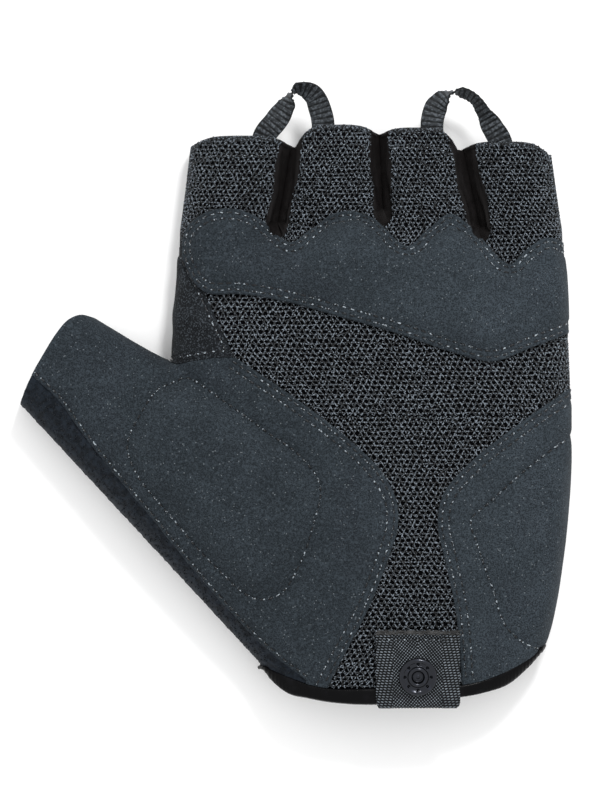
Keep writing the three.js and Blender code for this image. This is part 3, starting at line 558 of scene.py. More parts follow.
def nearest(line, spots):
    """How far places lie from a line, and how far along it their nearest points are."""
    start, step, walked = line[:-1], np.diff(line, axis=0), lengths(line)[:-1]
    size = np.maximum((step**2).sum(axis=1), 1e-12)
    away, along = np.full(len(spots), np.inf), np.zeros(len(spots))
    for first in range(0, len(spots), 4000):
        p = spots[first:first + 4000, None]
        t = np.clip(((p - start) * step).sum(axis=2) / size, 0, 1)
        gap = ((p - start - t[..., None] * step) ** 2).sum(axis=2)
        best = gap.argmin(axis=1)
        rows = np.arange(len(best))
        away[first:first + 4000] = np.sqrt(gap[rows, best])
        along[first:first + 4000] = walked[best] + t[rows, best] * np.sqrt(size[best])
    return away, along


def distance(line, spots):
    return nearest(line, spots)[0]


def offset(line, distance_out):
    """A line moved sideways, to its left for a positive distance."""
    ahead = np.gradient(line, axis=0)
    ahead /= np.maximum(np.linalg.norm(ahead, axis=1), 1e-9)[:, None]
    return line + distance_out * np.column_stack([-ahead[:, 1], ahead[:, 0]])


def beside(line, distance_out):
    """A line moved sideways and freed of the knots that its tight bends make."""
    fine = resample(line, 0.5)
    moved = offset(fine, distance_out)
    moved = moved[distance(fine, moved) > 0.97 * abs(distance_out)]
    for _ in range(4):
        moved[1:-1] = (moved[:-2] + 2 * moved[1:-1] + moved[2:]) / 4
    return resample(moved, 0.5)


def far_corner(x, y):
    """A place far off the body, for outlines that take in everything on one side."""
    return np.array([[x * FAR, y * FAR]])


def below(line):
    """The part of the body on the wrist side of a line."""
    return np.vstack([line, [[line[-1, 0], -FAR], [line[0, 0], -FAR]]])


OUTLINE = resample(closed(body_outline()), 0.8)
SLITS = [resample(closed(slit_outline(line)), 0.8) for line in (1, 2, 3)]
SIDES = [OUTLINE, *SLITS]
HEMS = [finger_hem(i) for i in range(4)]
TOP_LINE = np.vstack([HEMS[0][0] - [6, 0], *HEMS, HEMS[3][-1] + [6, 0]])
BELOW_HEMS = np.vstack([
    TOP_LINE, far_corner(1, 0.4), far_corner(1, -1), far_corner(-1, -1), far_corner(-1, 0.4),
])
MOUTH_LINE = thumb_line(THUMB_MOUTH)
BEYOND_MOUTH = np.vstack([MOUTH_LINE, on_thumb([-FAR, -FAR], np.array([2, -1]) * THUMB_WIDTH)])
CUFF_SEAM = cuff_line("seam")
CUFF_HEM = cuff_line("hem")
CUFF_AREA = below(CUFF_SEAM)
BACK_EDGE = palm_line(BACK_CLOTH_EDGE)
CROTCH_EDGE = palm_line(THUMB_CROTCH_EDGE)
THUMB_EDGE = palm_line(THUMB_PANEL_EDGE)
HEEL_EDGE = palm_line(HEEL_PANEL_EDGE)
UNDER_THUMB_EDGE = palm_line(THUMB_BACK_EDGE)
TERRY_EDGE = thumb_line(TOWELLING_EDGE)
AROUND_THUMB = np.vstack([far_corner(0, -1), far_corner(-1, -1), far_corner(-1, 0.5)])
THUMB_PANEL = np.vstack([CROTCH_EDGE[::-1], THUMB_EDGE[1:], AROUND_THUMB])
HEEL_PANEL = np.vstack([HEEL_EDGE, far_corner(0.2, -1), far_corner(1, -1), far_corner(1, 0.3)])
KNUCKLE_PANEL = palm_loop(KNUCKLE_PANEL_EDGE)
THENAR_PAD = palm_loop(THENAR_PAD_EDGE)
HEEL_PAD = palm_loop(HEEL_PAD_EDGE)
INDEX_WRAP = np.vstack([BACK_EDGE, CROTCH_EDGE[1:]])
TERRY_FRONT = np.vstack([TERRY_EDGE, on_thumb(np.array([2, -1]) * THUMB_LENGTH, -THUMB_WIDTH)])
TERRY_BACK = np.vstack([UNDER_THUMB_EDGE, AROUND_THUMB])
GUSSET_LOOPS = [gusset_outline(i) for i in range(3)]
MOUTHS = [TOP_LINE, MOUTH_LINE, CUFF_SEAM]


def on_body(spots):
    """Which places lie on the sewn body, clear of its mouths and slits."""
    found = inside(OUTLINE, spots) & inside(BELOW_HEMS, spots) & ~inside(BEYOND_MOUTH, spots)
    for slit in SLITS:
        found &= ~inside(slit, spots)
    return found


def area(within=(), without=()):
    """A test for places on the sewn body above the cuff, inside and outside of some outlines."""
    def test(spots):
        found = on_body(spots) & ~inside(CUFF_AREA, spots)
        for loop in within:
            found &= inside(loop, spots)
        for loop in without:
            found &= ~inside(loop, spots)
        return found
    return test


# Cloth faceted over an area

SIDE_ROWS = (0.012, 0.05, 0.14, 0.32, 0.65, 1.2, 2.0, 3.2)  # of points beside the side seams
SIDE_STRIP = 3.5  # beside the side seams, where these rows stand in for the even grid
CUT_ROWS = (0.12, 0.35)  # of points beside an edge or a mouth
FINEST = 0.16  # points nearer to each other than about this become one


def patch(test, cuts, spacing, rows=()):
    """Places and triangles over the part of the body where test holds. cuts are the lines that bound
    it, and rows are lines along which it is faceted more finely."""
    cut_lines = [resample(cut, 0.8) for cut in cuts]
    lines = [*SIDES, *cut_lines]
    edges, start = [], 0
    for line in lines:
        edges += [(start + i, start + i + 1) for i in range(len(line) - 1)]
        start += len(line)
    near, reach = [], []
    for line in SIDES:
        for row in SIDE_ROWS:
            for turn in (1, -1):
                near.append(offset(line, turn * row))
                reach += [row] * len(line)
    near, reach = np.vstack(near), np.array(reach)
    kept = test(near)
    near, reach = near[kept], reach[kept]
    near = near[np.min([distance(line, near) for line in SIDES], axis=0) > 0.85 * reach]
    beside_cuts = [offset(line, turn * row) for line in cut_lines for row in CUT_ROWS for turn in (1, -1)]
    fine = np.vstack([*beside_cuts, *rows])
    fine = fine[test(fine)]
    fine = fine[np.min([distance(line, fine) for line in SIDES], axis=0) > 0.25]
    fine = fine[np.unique(np.round(fine / FINEST), axis=0, return_index=True)[1]]
    low, high = np.vstack([near, fine]).min(axis=0), np.vstack([near, fine]).max(axis=0)
    grid_y, grid_x = np.mgrid[low[1]:high[1]:spacing * math.sqrt(3) / 2, low[0]:high[0]:spacing]
    grid_x[1::2] += spacing / 2
    inner = np.column_stack([grid_x.ravel(), grid_y.ravel()])
    inner = inner[test(inner)]
    inner = inner[np.min([distance(line, inner) for line in SIDES], axis=0) > SIDE_STRIP]
    inner = inner[np.min([distance(line, inner) for line in cut_lines], axis=0) > CUT_ROWS[-1] + spacing / 2]
    for row in rows:
        inner = inner[distance(row, inner) > spacing * 0.4]
    points = np.vstack([*lines, near, fine, inner])
    found, _, triangles, *_ = delaunay_2d_cdt([Vector(p) for p in points], edges, [], 0, 1e-5, False)
    spots = np.array([tuple(p) for p in found])
    triangles = np.array([t for t in triangles if len(t) == 3])
    kept = triangles[test(spots[triangles].mean(axis=1))]
    used, kept = np.unique(kept, return_inverse=True)
    return spots[used], kept.reshape(-1, 3)


def rim(faces):
    """The directed edges that only one face has."""
    sides = np.stack([faces, np.roll(faces, -1, axis=1)], axis=-1).reshape(-1, 2)
    _, first, count = np.unique(np.sort(sides, axis=1), axis=0, return_index=True, return_counts=True)
    return sides[first[count == 1]]


def shell(outer, inner, faces):
    """A closed body between two skins that share their faces."""
    size, edge = len(outer), rim(faces)
    walls = np.column_stack([edge[:, 1], edge[:, 0], edge[:, 0] + size, edge[:, 1] + size])
    return np.vstack([outer, inner]), [faces, faces[:, ::-1] + size, walls]


def layer(side, spots, triangles, top, bottom):
    """A cloth between two lifts off one side of the body."""
    seam = np.min([distance(line, spots) for line in SIDES], axis=0) < 0.005
    outer = skin(side, spots, np.where(seam, top - 0.3, top))[0]
    inner = skin(side, spots, np.broadcast_to(bottom, len(spots)))[0]
    return shell(outer, inner, triangles if side[1] > 0 else triangles[:, ::-1])


# Bodies made of rings and threads

def grid_faces(rows, columns, joined=False):
    """Four-sided faces over a grid of points, whose opposite sides may be joined."""
    here = np.arange(rows * columns).reshape(rows, columns)
    ahead = np.roll(here, -1, axis=0)
    faces = np.stack([here, np.roll(here, -1, axis=1), np.roll(ahead, -1, axis=1), ahead], axis=-1)
    return (faces if joined else faces[:-1, :-1]).reshape(-1, 4)


def volume(points, faces):
    total = 0.0
    for group in faces:
        for i in range(1, group.shape[1] - 1):
            a, b, c = points[group[:, 0]], points[group[:, i]], points[group[:, i + 1]]
            total += (a * np.cross(b, c)).sum() / 6
    return total


def outward(points, faces):
    """The same body with its faces turned out."""
    if volume(points, faces) < 0:
        faces = [group[:, ::-1] for group in faces]
    return points, faces


def hoop(grid):
    """A closed body from closed sections set round a ring."""
    return outward(grid.reshape(-1, 3), [grid_faces(*grid.shape[:2], joined=True)])


def slab(outer, inner):
    """A closed body between two grids of points."""
    faces = grid_faces(*outer.shape[:2])
    return outward(*shell(outer.reshape(-1, 3), inner.reshape(-1, 3), faces))


def threads(lines, wide, high, sides):
    """Threads of a width and a height along lines, each given by its points and the cloth's normals."""
    points, normals = (np.vstack([line[k] for line in lines]) for k in (0, 1))
    sizes = np.array([len(line[0]) for line in lines])
    first = np.repeat(np.cumsum(sizes) - sizes, sizes)
    last = first + np.repeat(sizes, sizes) - 1
    here = np.arange(len(points))
    ahead = points[np.minimum(here + 1, last)] - points[np.maximum(here - 1, first)]
    across = unit(np.cross(ahead, normals))
    up = unit(np.cross(across, ahead))
    angle = (np.arange(sides) + 0.5) / sides * 2 * math.pi
    wide, high = (np.broadcast_to(size, len(points))[:, None, None] / 2 for size in (wide, high))
    ring = wide * np.cos(angle)[:, None] * across[:, None] + high * np.sin(angle)[:, None] * up[:, None]
    corner = here[here < last][:, None] * sides + np.arange(sides)
    beside_it = here[here < last][:, None] * sides + np.roll(np.arange(sides), -1)
    walls = np.stack([corner, corner + sides, beside_it + sides, beside_it], axis=-1).reshape(-1, 4)
    starts = (here[here == first] * sides)[:, None] + np.arange(sides)
    ends = (here[here == last] * sides)[:, None] + np.arange(sides)[::-1]
    return (points[:, None] + ring).reshape(-1, 3), [walls, starts, ends]


def together(bodies):
    """Several bodies as one mesh."""
    points, faces, start = [], [], 0
    for body_points, body_faces in bodies:
        points.append(body_points)
        faces += [group + start for group in body_faces]
        start += len(body_points)
    return np.vstack(points), faces


def runs(kept):
    """Starts and ends of the unbroken runs in a row of yes and no."""
    change = np.diff(np.concatenate([[0], kept.astype(int), [0]]))
    return zip(np.flatnonzero(change == 1), np.flatnonzero(change == -1))


def cut_strands(point, normal, kept):
    """The unbroken runs of a line's kept points that are long enough for a thread."""
    return [(point[a:b], normal[a:b]) for a, b in runs(kept) if b - a > 3]


def piece(name, body, material, slot, *nodes, crease=50):
    """A named mesh in the frame, riding on the body, in place of the given nodes."""
    points, faces = body
    mesh = bpy.data.meshes.new(name)
    mesh.vertices.add(len(points))
    mesh.vertices.foreach_set("co", ((points + ORIGIN) / MM).astype(np.float32).ravel())
    sizes = np.concatenate([np.full(len(group), group.shape[1]) for group in faces])
    corners = np.concatenate([np.asarray(group).ravel() for group in faces])
    mesh.loops.add(len(corners))
    mesh.loops.foreach_set("vertex_index", corners.astype(np.int32))
    mesh.polygons.add(len(sizes))
    mesh.polygons.foreach_set("loop_start", (np.cumsum(sizes) - sizes).astype(np.int32))
    mesh.polygons.foreach_set("loop_total", sizes.astype(np.int32))
    mesh.update(calc_edges=True)
    mesh.validate()
    mesh.shade_smooth()
    mesh.set_sharp_from_angle(angle=math.radians(crease))
    mesh.materials.append(material)
    made = bpy.data.objects.new(name, mesh)
    bpy.context.scene.collection.objects.link(made)
    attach(made, "root")
    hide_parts(*nodes)
    return made


# Materials

class Wire:
    """A socket of a material whose arithmetic adds Math nodes."""

    def __init__(self, recipe, socket):
        self.recipe = recipe
        self.socket = socket

    def maths(self, operation, *values):
        return self.recipe.node("ShaderNodeMath", {"operation": operation}, dict(enumerate(values)))

    def __add__(self, other):
        return self.maths("ADD", self, other)

    def __sub__(self, other):
        return self.maths("SUBTRACT", self, other)

    def __rsub__(self, other):
        return self.maths("SUBTRACT", other, self)

    def __mul__(self, other):
        return self.maths("MULTIPLY", self, other)

    def __abs__(self):
        return self.maths("ABSOLUTE", self)

    __radd__ = __add__
    __rmul__ = __mul__

    def wave(self, pitch):
        """A wave between -1 and 1 along a length."""
        return self.maths("SINE", self * (2 * math.pi / pitch))

    def ramp(self, low, high):
        """0 below low, 1 above high, and smooth between them."""
        levels = {"Value": self, "From Min": low, "From Max": high, "To Min": 0.0, "To Max": 1.0}
        return self.recipe.node("ShaderNodeMapRange", {"interpolation_type": "SMOOTHSTEP"}, levels)


class Recipe:
    """A material and the nodes that feed its shader. Lengths are in millimetres on the piece."""

    def __init__(self, name, fixed):
        self.material = bpy.data.materials.new(name)
        self.material.use_nodes = True
        self.tree = self.material.node_tree
        self.shader = self.tree.nodes["Principled BSDF"]
        for socket, value in fixed.items():
            self.shader.inputs[socket].default_value = value
        spot = self.node("ShaderNodeTexCoord", {}, {}, "Object")
        self.place = self.node("ShaderNodeVectorMath", {"operation": "SCALE"}, {0: spot, "Scale": MM})

    def node(self, kind, settings, inputs, output=0):
        made = self.tree.nodes.new(kind)
        for setting, value in settings.items():
            setattr(made, setting, value)
        for socket, value in inputs.items():
            self.feed(made.inputs[socket], value)
        return Wire(self, made.outputs[output])

    def feed(self, socket, value):
        if isinstance(value, Wire):
            self.tree.links.new(value.socket, socket)
        else:
            socket.default_value = value

    def along(self, axis):
        """The place along X, Y or Z."""
        return self.node("ShaderNodeSeparateXYZ", {}, {0: self.place}, axis)

    def stretched(self, share):
        """The place with its height up the hand multiplied, for marks that run up or across it."""
        factors = {0: self.place, 1: (1.0, share, 1.0)}
        return self.node("ShaderNodeVectorMath", {"operation": "MULTIPLY"}, factors)

    def noise(self, size, detail=2.0, place=None):
        """Cloudy values round 0.5, with clouds of some size."""
        sockets = {"Vector": place or self.place, "Scale": 1 / size, "Detail": detail}
        return self.node("ShaderNodeTexNoise", {}, sockets)

    def cells(self, size):
        """The distance to the middle of the nearest of many scattered cells, in cells."""
        return self.node("ShaderNodeTexVoronoi", {}, {"Vector": self.place, "Scale": 1 / size})

    def mix(self, share, a, b):
        return self.node("ShaderNodeMix", {"data_type": "RGBA"}, {0: share, 6: a, 7: b}, 2)

    def shades(self, share, colour, low, high):
        """A colour at two brightnesses, mixed by a share."""
        return self.mix(share, shaded(colour, low), shaded(colour, high))

    def finish(self, colour, roughness, relief, depth):
        """Feeds the shader with a colour, a roughness and a relief of some depth, and gives the material."""
        self.feed(self.shader.inputs["Base Color"], colour)
        self.feed(self.shader.inputs["Roughness"], roughness)
        bump = self.node("ShaderNodeBump", {}, {"Height": relief, "Distance": depth / MM, "Strength": 1.0})
        self.feed(self.shader.inputs["Normal"], bump)
        return self.material


def tint(red, green, blue):
    """A colour given in screen values from 0 to 255, as the linear one that Blender takes."""
    shares = (value / 255 for value in (red, green, blue))
    return tuple(share / 12.92 if share <= 0.04045 else ((share + 0.055) / 1.055) ** 2.4 for share in shares)


def shaded(colour, brightness):
    return (*(share * brightness for share in colour), 1.0)


def suede_finish(look):
    """Brushed suede, mottled by handling, with pale lint in its nap and painted light that pales it towards
    the little finger.
    """
    suede = Recipe("suede", {"Specular IOR Level": 0.06, "Sheen Weight": 0.03, "Sheen Roughness": 0.4})
    broad = suede.noise(9.0, 2.0).ramp(0.35, 0.65)
    # Painted light: the suede's colour brightens across the hand towards the little finger.
    fading_and_painted_light = (suede.along("X") - ORIGIN[0]).ramp(-18.0, 42.0)
    nap = suede.noise(0.34, 3.0)
    grain = suede.noise(0.75, 2.0)
    tone = suede.shades(broad * 0.4 + fading_and_painted_light * 0.6, look.colour, 0.92, 1.5)
    tone = suede.mix(nap.ramp(0.4, 0.6) * 0.8, tone, shaded(look.colour, 0.34))
    tone = suede.mix(grain.ramp(0.48, 0.7) * 0.3, tone, shaded(look.colour, 2.3))
    lint = 1 - suede.cells(0.9).ramp(0.1, 0.24)
    rare = suede.noise(1.3, 1.0).ramp(0.46, 0.62)
    tone = suede.mix(lint * rare * 0.85, tone, shaded(look.lint_colour, 1.0))
    return suede.finish(tone, 0.84 + 0.14 * nap, nap + grain * 0.8, 0.14)


def knit_finish(look, name, brightness):
    """Yarn of the open mesh: filament bundles with painted glints, and finer fibres twisted along them."""
    yarn = Recipe(name, {"Specular IOR Level": 0.35 * brightness})
    patches = yarn.noise(9.0, 2.0).ramp(0.3, 0.7)
    fibres = yarn.noise(0.12, 2.0)
    # Painted highlights: scattered spots of the yarn are coloured far brighter than its own colour.
    glints = yarn.noise(0.46, 1.0).ramp(0.5, 0.61)
    tone = yarn.shades(patches, look.colour, 0.1 * brightness, 0.26 * brightness)
    tone = yarn.mix(fibres.ramp(0.35, 0.65) * 0.5, tone, shaded(look.colour, 0.07 * brightness))
    tone = yarn.mix(glints * 0.8, tone, shaded(look.colour, 4.7 * brightness))
    return yarn.finish(tone, 0.62 - glints * 0.24, fibres, 0.05)


def lining_painted_shade_finish(look):
    """Near-black inner cloth behind the mesh, as painted shade of the mitt's inside, seen through its holes
    and in the mouths.
    """
    lining = Recipe("lining", {"Specular IOR Level": 0.02})
    grain = lining.noise(0.5, 3.0)
    tone = lining.shades(grain, look.lining_colour, 0.5, 1.4)
    return lining.finish(tone, 0.9 + grain * 0.1, grain, 0.08)


def thread_finish(look):
    """Dark glossy thread with painted glints in a few places."""
    thread = Recipe("thread", {"Specular IOR Level": 0.3})
    twist = thread.noise(0.16, 1.0)
    # Painted highlights: a few spots of the thread take the pale glint colour.
    glint = thread.noise(0.6, 1.0).ramp(0.57, 0.63)
    tone = thread.mix(glint, shaded(look.colour, 1.0), shaded(look.glint_colour, 1.0))
    return thread.finish(tone, 0.3 + twist * 0.2, twist, 0.06)


def back_finish(look):
    """Brushed stretch cloth with fine ribs running up the hand."""
    cloth = Recipe("back_cloth", {"Specular IOR Level": 0.06, "Sheen Weight": 0.04, "Sheen Roughness": 0.5})
    ribs = cloth.noise(0.5, 1.0, cloth.stretched(0.08))
    fuzz = cloth.noise(0.42, 3.0)
    worn = cloth.noise(6.0, 3.0).ramp(0.35, 0.68)
    tone = cloth.shades(worn, look.back_colour, 0.5, 0.85)
    tone = cloth.mix(ribs.ramp(0.42, 0.6) * 0.6, tone, shaded(look.back_colour, 0.4))
    tone = cloth.mix(fuzz.ramp(0.52, 0.64) * 0.8, tone, shaded(look.back_colour, 3.8))
    return cloth.finish(tone, 0.85 + fuzz * 0.15, ribs + fuzz * 0.5, 0.12)


def towelling_finish(look):
    """Short towelling pile: soft clumps and loose pale fibres."""
    pile = Recipe("towelling", {"Specular IOR Level": 0.03, "Sheen Weight": 0.06, "Sheen Roughness": 0.6})
    clumps = pile.noise(1.6, 3.0)
    fibre = pile.noise(0.2, 2.0)
    tone = pile.shades(clumps.ramp(0.35, 0.65), look.towelling_colour, 0.42, 1.0)
    tone = pile.mix(fibre.ramp(0.55, 0.75) * 0.4, tone, shaded(look.towelling_colour, 2.0))
    return pile.finish(tone, 0.9 + fibre * 0.1, clumps + fibre * 0.6, 0.14)


def jersey_finish(look):
    """Smooth dark jersey of the gussets, with very fine wales, a satin face, and painted highlights and
    shade of its folds.
    """
    jersey = Recipe("gusset_jersey", {"Specular IOR Level": 0.1})
    wales = jersey.noise(0.3, 1.0, jersey.stretched(0.1))
    # Painted highlights and shade: cloudy light and dark patches stand in for light on the satin's folds.
    folds = jersey.noise(2.2, 2.0)
    tone = jersey.shades(folds, look.gusset_colour, 0.55, 1.5)
    tone = jersey.mix(wales.ramp(0.45, 0.65) * 0.5, tone, shaded(look.gusset_colour, 0.5))
    return jersey.finish(tone, 0.5 + folds * 0.25, wales, 0.06)


def elastic_finish(look):
    """Shiny knitted elastic of the cuff's binding."""
    elastic = Recipe("cuff_elastic", {"Specular IOR Level": 0.07})
    ribs = elastic.noise(0.25, 1.0, elastic.stretched(0.3))
    scuffs = elastic.noise(3.5, 3.0).ramp(0.5, 0.75)
    tone = elastic.shades(scuffs * 0.7, look.elastic_colour, 1.0, 3.2)
    return elastic.finish(tone, 0.26 + scuffs * 0.3, ribs, 0.05)


def tape_finish(look, name, brightness):
    """Woven tape: separate filaments, with painted highlights where they cross over on top."""
    tape = Recipe(name, {"Specular IOR Level": 0.15})
    filaments = tape.noise(0.2, 2.0)
    # Painted highlights: patches of filament lying on top are coloured far brighter than the tape.
    painted_float_highlights = tape.noise(0.7, 1.0).ramp(0.44, 0.66)
    fading_and_painted_light = tape.noise(5.0, 2.0).ramp(0.35, 0.65)
    tone = tape.shades(fading_and_painted_light, look.tape_colour, brightness * 0.7, brightness * 1.1)
    tone = tape.mix(filaments.ramp(0.4, 0.6) * 0.5, tone, shaded(look.tape_colour, brightness * 0.45))
    tone = tape.mix(painted_float_highlights * 0.6, tone, shaded(look.tape_colour, brightness * 3.6))
    return tape.finish(tone, 0.55 + filaments * 0.25, filaments, 0.07)


def tab_finish(look):
    """Herringbone tape: ribs with painted highlights and painted shade between them, meeting in a peak at
    the middle, between selvedges ribbed across.
    """
    tape = Recipe("tab_tape", {"Specular IOR Level": 0.12})
    pitch = look.twill * MM
    sway = tape.noise(1.5, 1.0) * 0.22
    away = abs(tape.along("X") - (TAB_OFFSET + ORIGIN[0]))
    height = tape.along("Y") - ORIGIN[1] + sway
    slanted = (height + away * TWILL_SLOPE) * (1 / math.hypot(1, TWILL_SLOPE))
    edge = away.ramp(TAB_WIDTH / 2 - SELVEDGE_END, TAB_WIDTH / 2 - SELVEDGE_FULL)
    picks = (away * (1 / TWILL_SLOPE) - height).wave(0.8)
    rib = slanted.wave(pitch) * (1 - edge) + height.wave(pitch * SELVEDGE_PITCH) * edge
    # Painted highlights and shade: the ribs' crests are painted bright and the grooves between them dark.
    shine = (rib + picks * 0.8).ramp(0.25, 1.42)
    filaments = tape.noise(0.18, 2.0)
    fading_and_painted_light = tape.noise(3.0, 2.0).ramp(0.3, 0.7)
    tone = tape.shades(shine * (0.5 + fading_and_painted_light * 0.5), look.tape_colour, 0.1, 10.0)
    tone = tape.mix(filaments.ramp(0.45, 0.65) * 0.4, tone, shaded(look.tape_colour, 0.5))
    return tape.finish(tone, 0.55 + filaments * 0.2, rib + filaments, 0.07)


def fray_finish(look):
    """Loose pale filaments at the tab's raw end."""
    loose = Recipe("tab_fray", {"Specular IOR Level": 0.3})
    spots = loose.noise(1.4, 2.0)
    tone = loose.shades(spots.ramp(0.35, 0.65), look.fray_colour, 0.45, 1.2)
    return loose.finish(tone, 0.6 + spots * 0.2, spots, 0.03)


def metal_finish(look):
    """Blackened snap metal, polished bare in fine streaks on its rims."""
    metal = Recipe("snap_metal", {"Metallic": 1.0, "Coat Weight": 0.5, "Coat Roughness": 0.16})
    scratches = metal.noise(0.5, 3.0, metal.stretched(4.0))
    worn = metal.noise(1.4, 2.0).ramp(0.58, 0.8)
    tone = metal.shades(worn * 0.6, look.snap_colour, 1.0, 2.6)
    return metal.finish(tone, 0.2 + scratches * 0.12, scratches, 0.01)


def floor_finish(brightness):
    """Plain pale studio card with the faintest tooth."""
    card = Recipe("studio_card", {"Specular IOR Level": 0.0})
    tooth = card.noise(3.0, 2.0)
    tone = card.shades(tooth, (1, 1, 1), brightness, brightness * 0.995)
    return card.finish(tone, 0.9 + tooth * 0.05, tooth, 0.01)


# Sizes and colours that a user may change

def size(name, description, default):
    """A length, given in millimetres and kept in metres."""
    return FloatProperty(
        name=name, description=description, default=default / MM, min=0.0, precision=5, subtype="DISTANCE",
        unit="LENGTH",
    )


def number(name, description, default, unit="NONE"):
    return FloatProperty(name=name, description=description, default=default, min=0.0, unit=unit)


def colour(name, description, default):
    return FloatVectorProperty(
        name=name, description=description, default=default, size=3, min=0.0, max=1.0, subtype="COLOR",
    )


class MittKnit(bpy.types.PropertyGroup):
    """The open mesh of the palm and fingers."""

    palm_pitch: size("Palm hole pitch", "From hole to hole across the palm", 1.55)
    palm_rows: size("Palm row pitch", "From one row of holes to the next on the palm", 1.2)
    finger_pitch: size("Finger hole pitch", "From hole to hole across a finger", 1.36)
    finger_rows: size("Finger row pitch", "From one row of holes to the next on a finger", 1.06)
    yarn: size("Yarn thickness", "Thickness of one yarn of the palm's mesh", 0.38)
    wave: size("Yarn wave", "How far a yarn rises over the ones that it crosses", 0.2)
    colour: colour("Yarn colour", "Colour of the mesh yarn", tint(56, 61, 66))
    # Near black: the lining is painted shade of the mitt's inside, seen through the mesh's holes.
    lining_colour: colour("Lining colour", "Colour of the cloth behind the mesh", tint(6, 6, 8))


class MittSuede(bpy.types.PropertyGroup):
    """The suede panels and the pads under them."""

    proud: size("Stand", "How far the suede stands above the mesh", 0.5)
    knuckle: size("Knuckle panel", "How far the knuckle panel stands above the mesh", 1.15)
    thickness: size("Thickness", "Thickness of the suede", 0.9)
    thenar_rise: size("Thumb pad", "Swell of the pad at the thumb's root", 2.2)
    heel_rise: size("Heel pad", "Swell of the pad under the little finger", 2.0)
    knuckle_rise: size("Knuckle pad", "Swell of the pad across the knuckles", 1.8)
    ramp: size("Pad slope", "Width of the slope round a pad", 7.0)
    groove: size("Stitch groove", "How deep a row of stitches pulls the suede in", 0.34)
    pad_groove: size("Pad groove", "How deep the row round a pad pulls the suede in", 0.6)
    colour: colour("Suede colour", "Colour of the suede", tint(42, 48, 53))
    lint_colour: colour("Lint colour", "Colour of the specks in the nap", tint(100, 106, 110))


class MittStitching(bpy.types.PropertyGroup):
    """The thread of the visible seams."""

    pitch: size("Stitch pitch", "From one stitch to the next", 2.15)
    length: size("Stitch length", "Visible length of one stitch", 1.65)
    thread: size("Thread thickness", "Thickness of the thread", 0.42)
    colour: colour("Thread colour", "Colour of the thread", tint(13, 15, 18))
    glint_colour: colour("Glint colour", "Colour of the thread where it shines", tint(140, 149, 156))


class MittCloth(bpy.types.PropertyGroup):
    """The back of the mitt, its towelling and its gussets."""

    pile: size("Pile", "Height of the towelling's pile", 0.75)
    pile_pitch: size("Pile pitch", "From one tuft of the pile to the next", 0.95)
    back_colour: colour("Back cloth colour", "Colour of the stretch cloth", tint(29, 32, 35))
    towelling_colour: colour("Towelling colour", "Colour of the towelling", tint(27, 33, 40))
    gusset_colour: colour("Gusset colour", "Colour of the jersey between the fingers", tint(17, 15, 15))


class MittTrim(bpy.types.PropertyGroup):
    """The cuff's binding, the tab, its snap and the pull loops."""

    rib: size("Tape rib", "From rib to rib along a pull loop", 1.3)
    twill: size("Tab twill", "From one diagonal rib of the tab to the next", 0.62)
    elastic_colour: colour("Binding colour", "Colour of the cuff's elastic", tint(4, 4, 5))
    tape_colour: colour("Tape colour", "Colour of the tab and loops", tint(41, 44, 47))
    fray_colour: colour("Fray colour", "Colour of the tab's raw end", tint(62, 62, 62))
    snap_colour: colour("Snap colour", "Colour of the blackened metal", tint(21, 24, 32))


class MittStudio(bpy.types.PropertyGroup):
    """The floor, light and camera."""

    floor: number("Floor brightness", "How pale the floor is, from 0 to 1", 0.95)
    sky: number("Sky strength", "Strength of the light all round", 1.2)
    lamp: number("Lamp power", "Power of the lamp", 6.5, "POWER")
    lamp_size: size("Lamp size", "Side of the square lamp", 200)
    distance: size("Camera distance", "From the camera to the side seams", 3000)


# The open mesh

ARC_STEPS = 200
KNIT_SIDES = 4
KNIT_POINTS = 2.6  # points of a yarn for each crossing
KNIT_DEPTH = 0.28  # how far the yarns' middles lie under the body's skin
DRAPE_STEP = 0.5
DRAPE_PASSES = 160  # rounds of smoothing up the cloth, so that its columns of holes don't shear
WANDER_LENGTH = 2.5  # along a yarn from one bend of its wandering to the next
MESH_FOOT = 2.0  # height at which the palm's mesh begins, under the cuff
MESH_SPLIT = 0.5  # shares of BODY_LENGTH: where the palm's mesh is cut into two pieces, and where it ends
MESH_END = 0.78
FINGER_MESH_FOOT = 0.68  # share of BODY_LENGTH at which the fingers' mesh begins


def knuckle_line(x):
    """The height at which the palm's mesh gives way to the fingers', hidden under the knuckle panel."""
    return (0.765 - 0.075 * (x / PALM_WIDTH + 0.5)) * BODY_LENGTH


class Drape:
    """Cloth laid on the front between two sides, measured across along its surface from the middle."""

    def __init__(self, sides, low, high):
        self.low = low
        self.rows = np.arange(low, high + DRAPE_STEP, DRAPE_STEP)
        left, right = sides(self.rows)
        place = np.sin(np.linspace(-1, 1, ARC_STEPS) * math.pi / 2)
        x = (left + right)[:, None] / 2 + place * (right - left)[:, None] / 2
        z = crown(x.ravel(), np.repeat(self.rows, ARC_STEPS)).reshape(x.shape)
        steps = np.hypot(np.diff(x), np.diff(z))
        walked = np.concatenate([np.zeros((len(x), 1)), np.cumsum(steps, axis=1)], axis=1)
        self.width = walked[:, -1]
        share = np.linspace(0, 1, ARC_STEPS)
        self.x = np.array([np.interp(share * w, arc, row) for w, arc, row in zip(self.width, walked, x)])
        for _ in range(DRAPE_PASSES):
            self.width[1:-1] = (self.width[:-2] + 2 * self.width[1:-1] + self.width[2:]) / 4
            self.x[1:-1] = (self.x[:-2] + 2 * self.x[1:-1] + self.x[2:]) / 4

    def spots(self, u, v):
        """Places on the body for lengths across and heights up the cloth."""
        row = np.clip((v - self.low) / DRAPE_STEP, 0, len(self.rows) - 1.001)
        i = row.astype(int)
        f = row - i
        width = self.width[i] * (1 - f) + self.width[i + 1] * f
        spot = np.clip((u / width + 0.5) * (ARC_STEPS - 1), 0, ARC_STEPS - 1.001)
        k = spot.astype(int)
        g = spot - k
        below_row = self.x[i, k] * (1 - g) + self.x[i, k + 1] * g
        above_row = self.x[i + 1, k] * (1 - g) + self.x[i + 1, k + 1] * g
        return np.column_stack([below_row * (1 - f) + above_row * f, v])


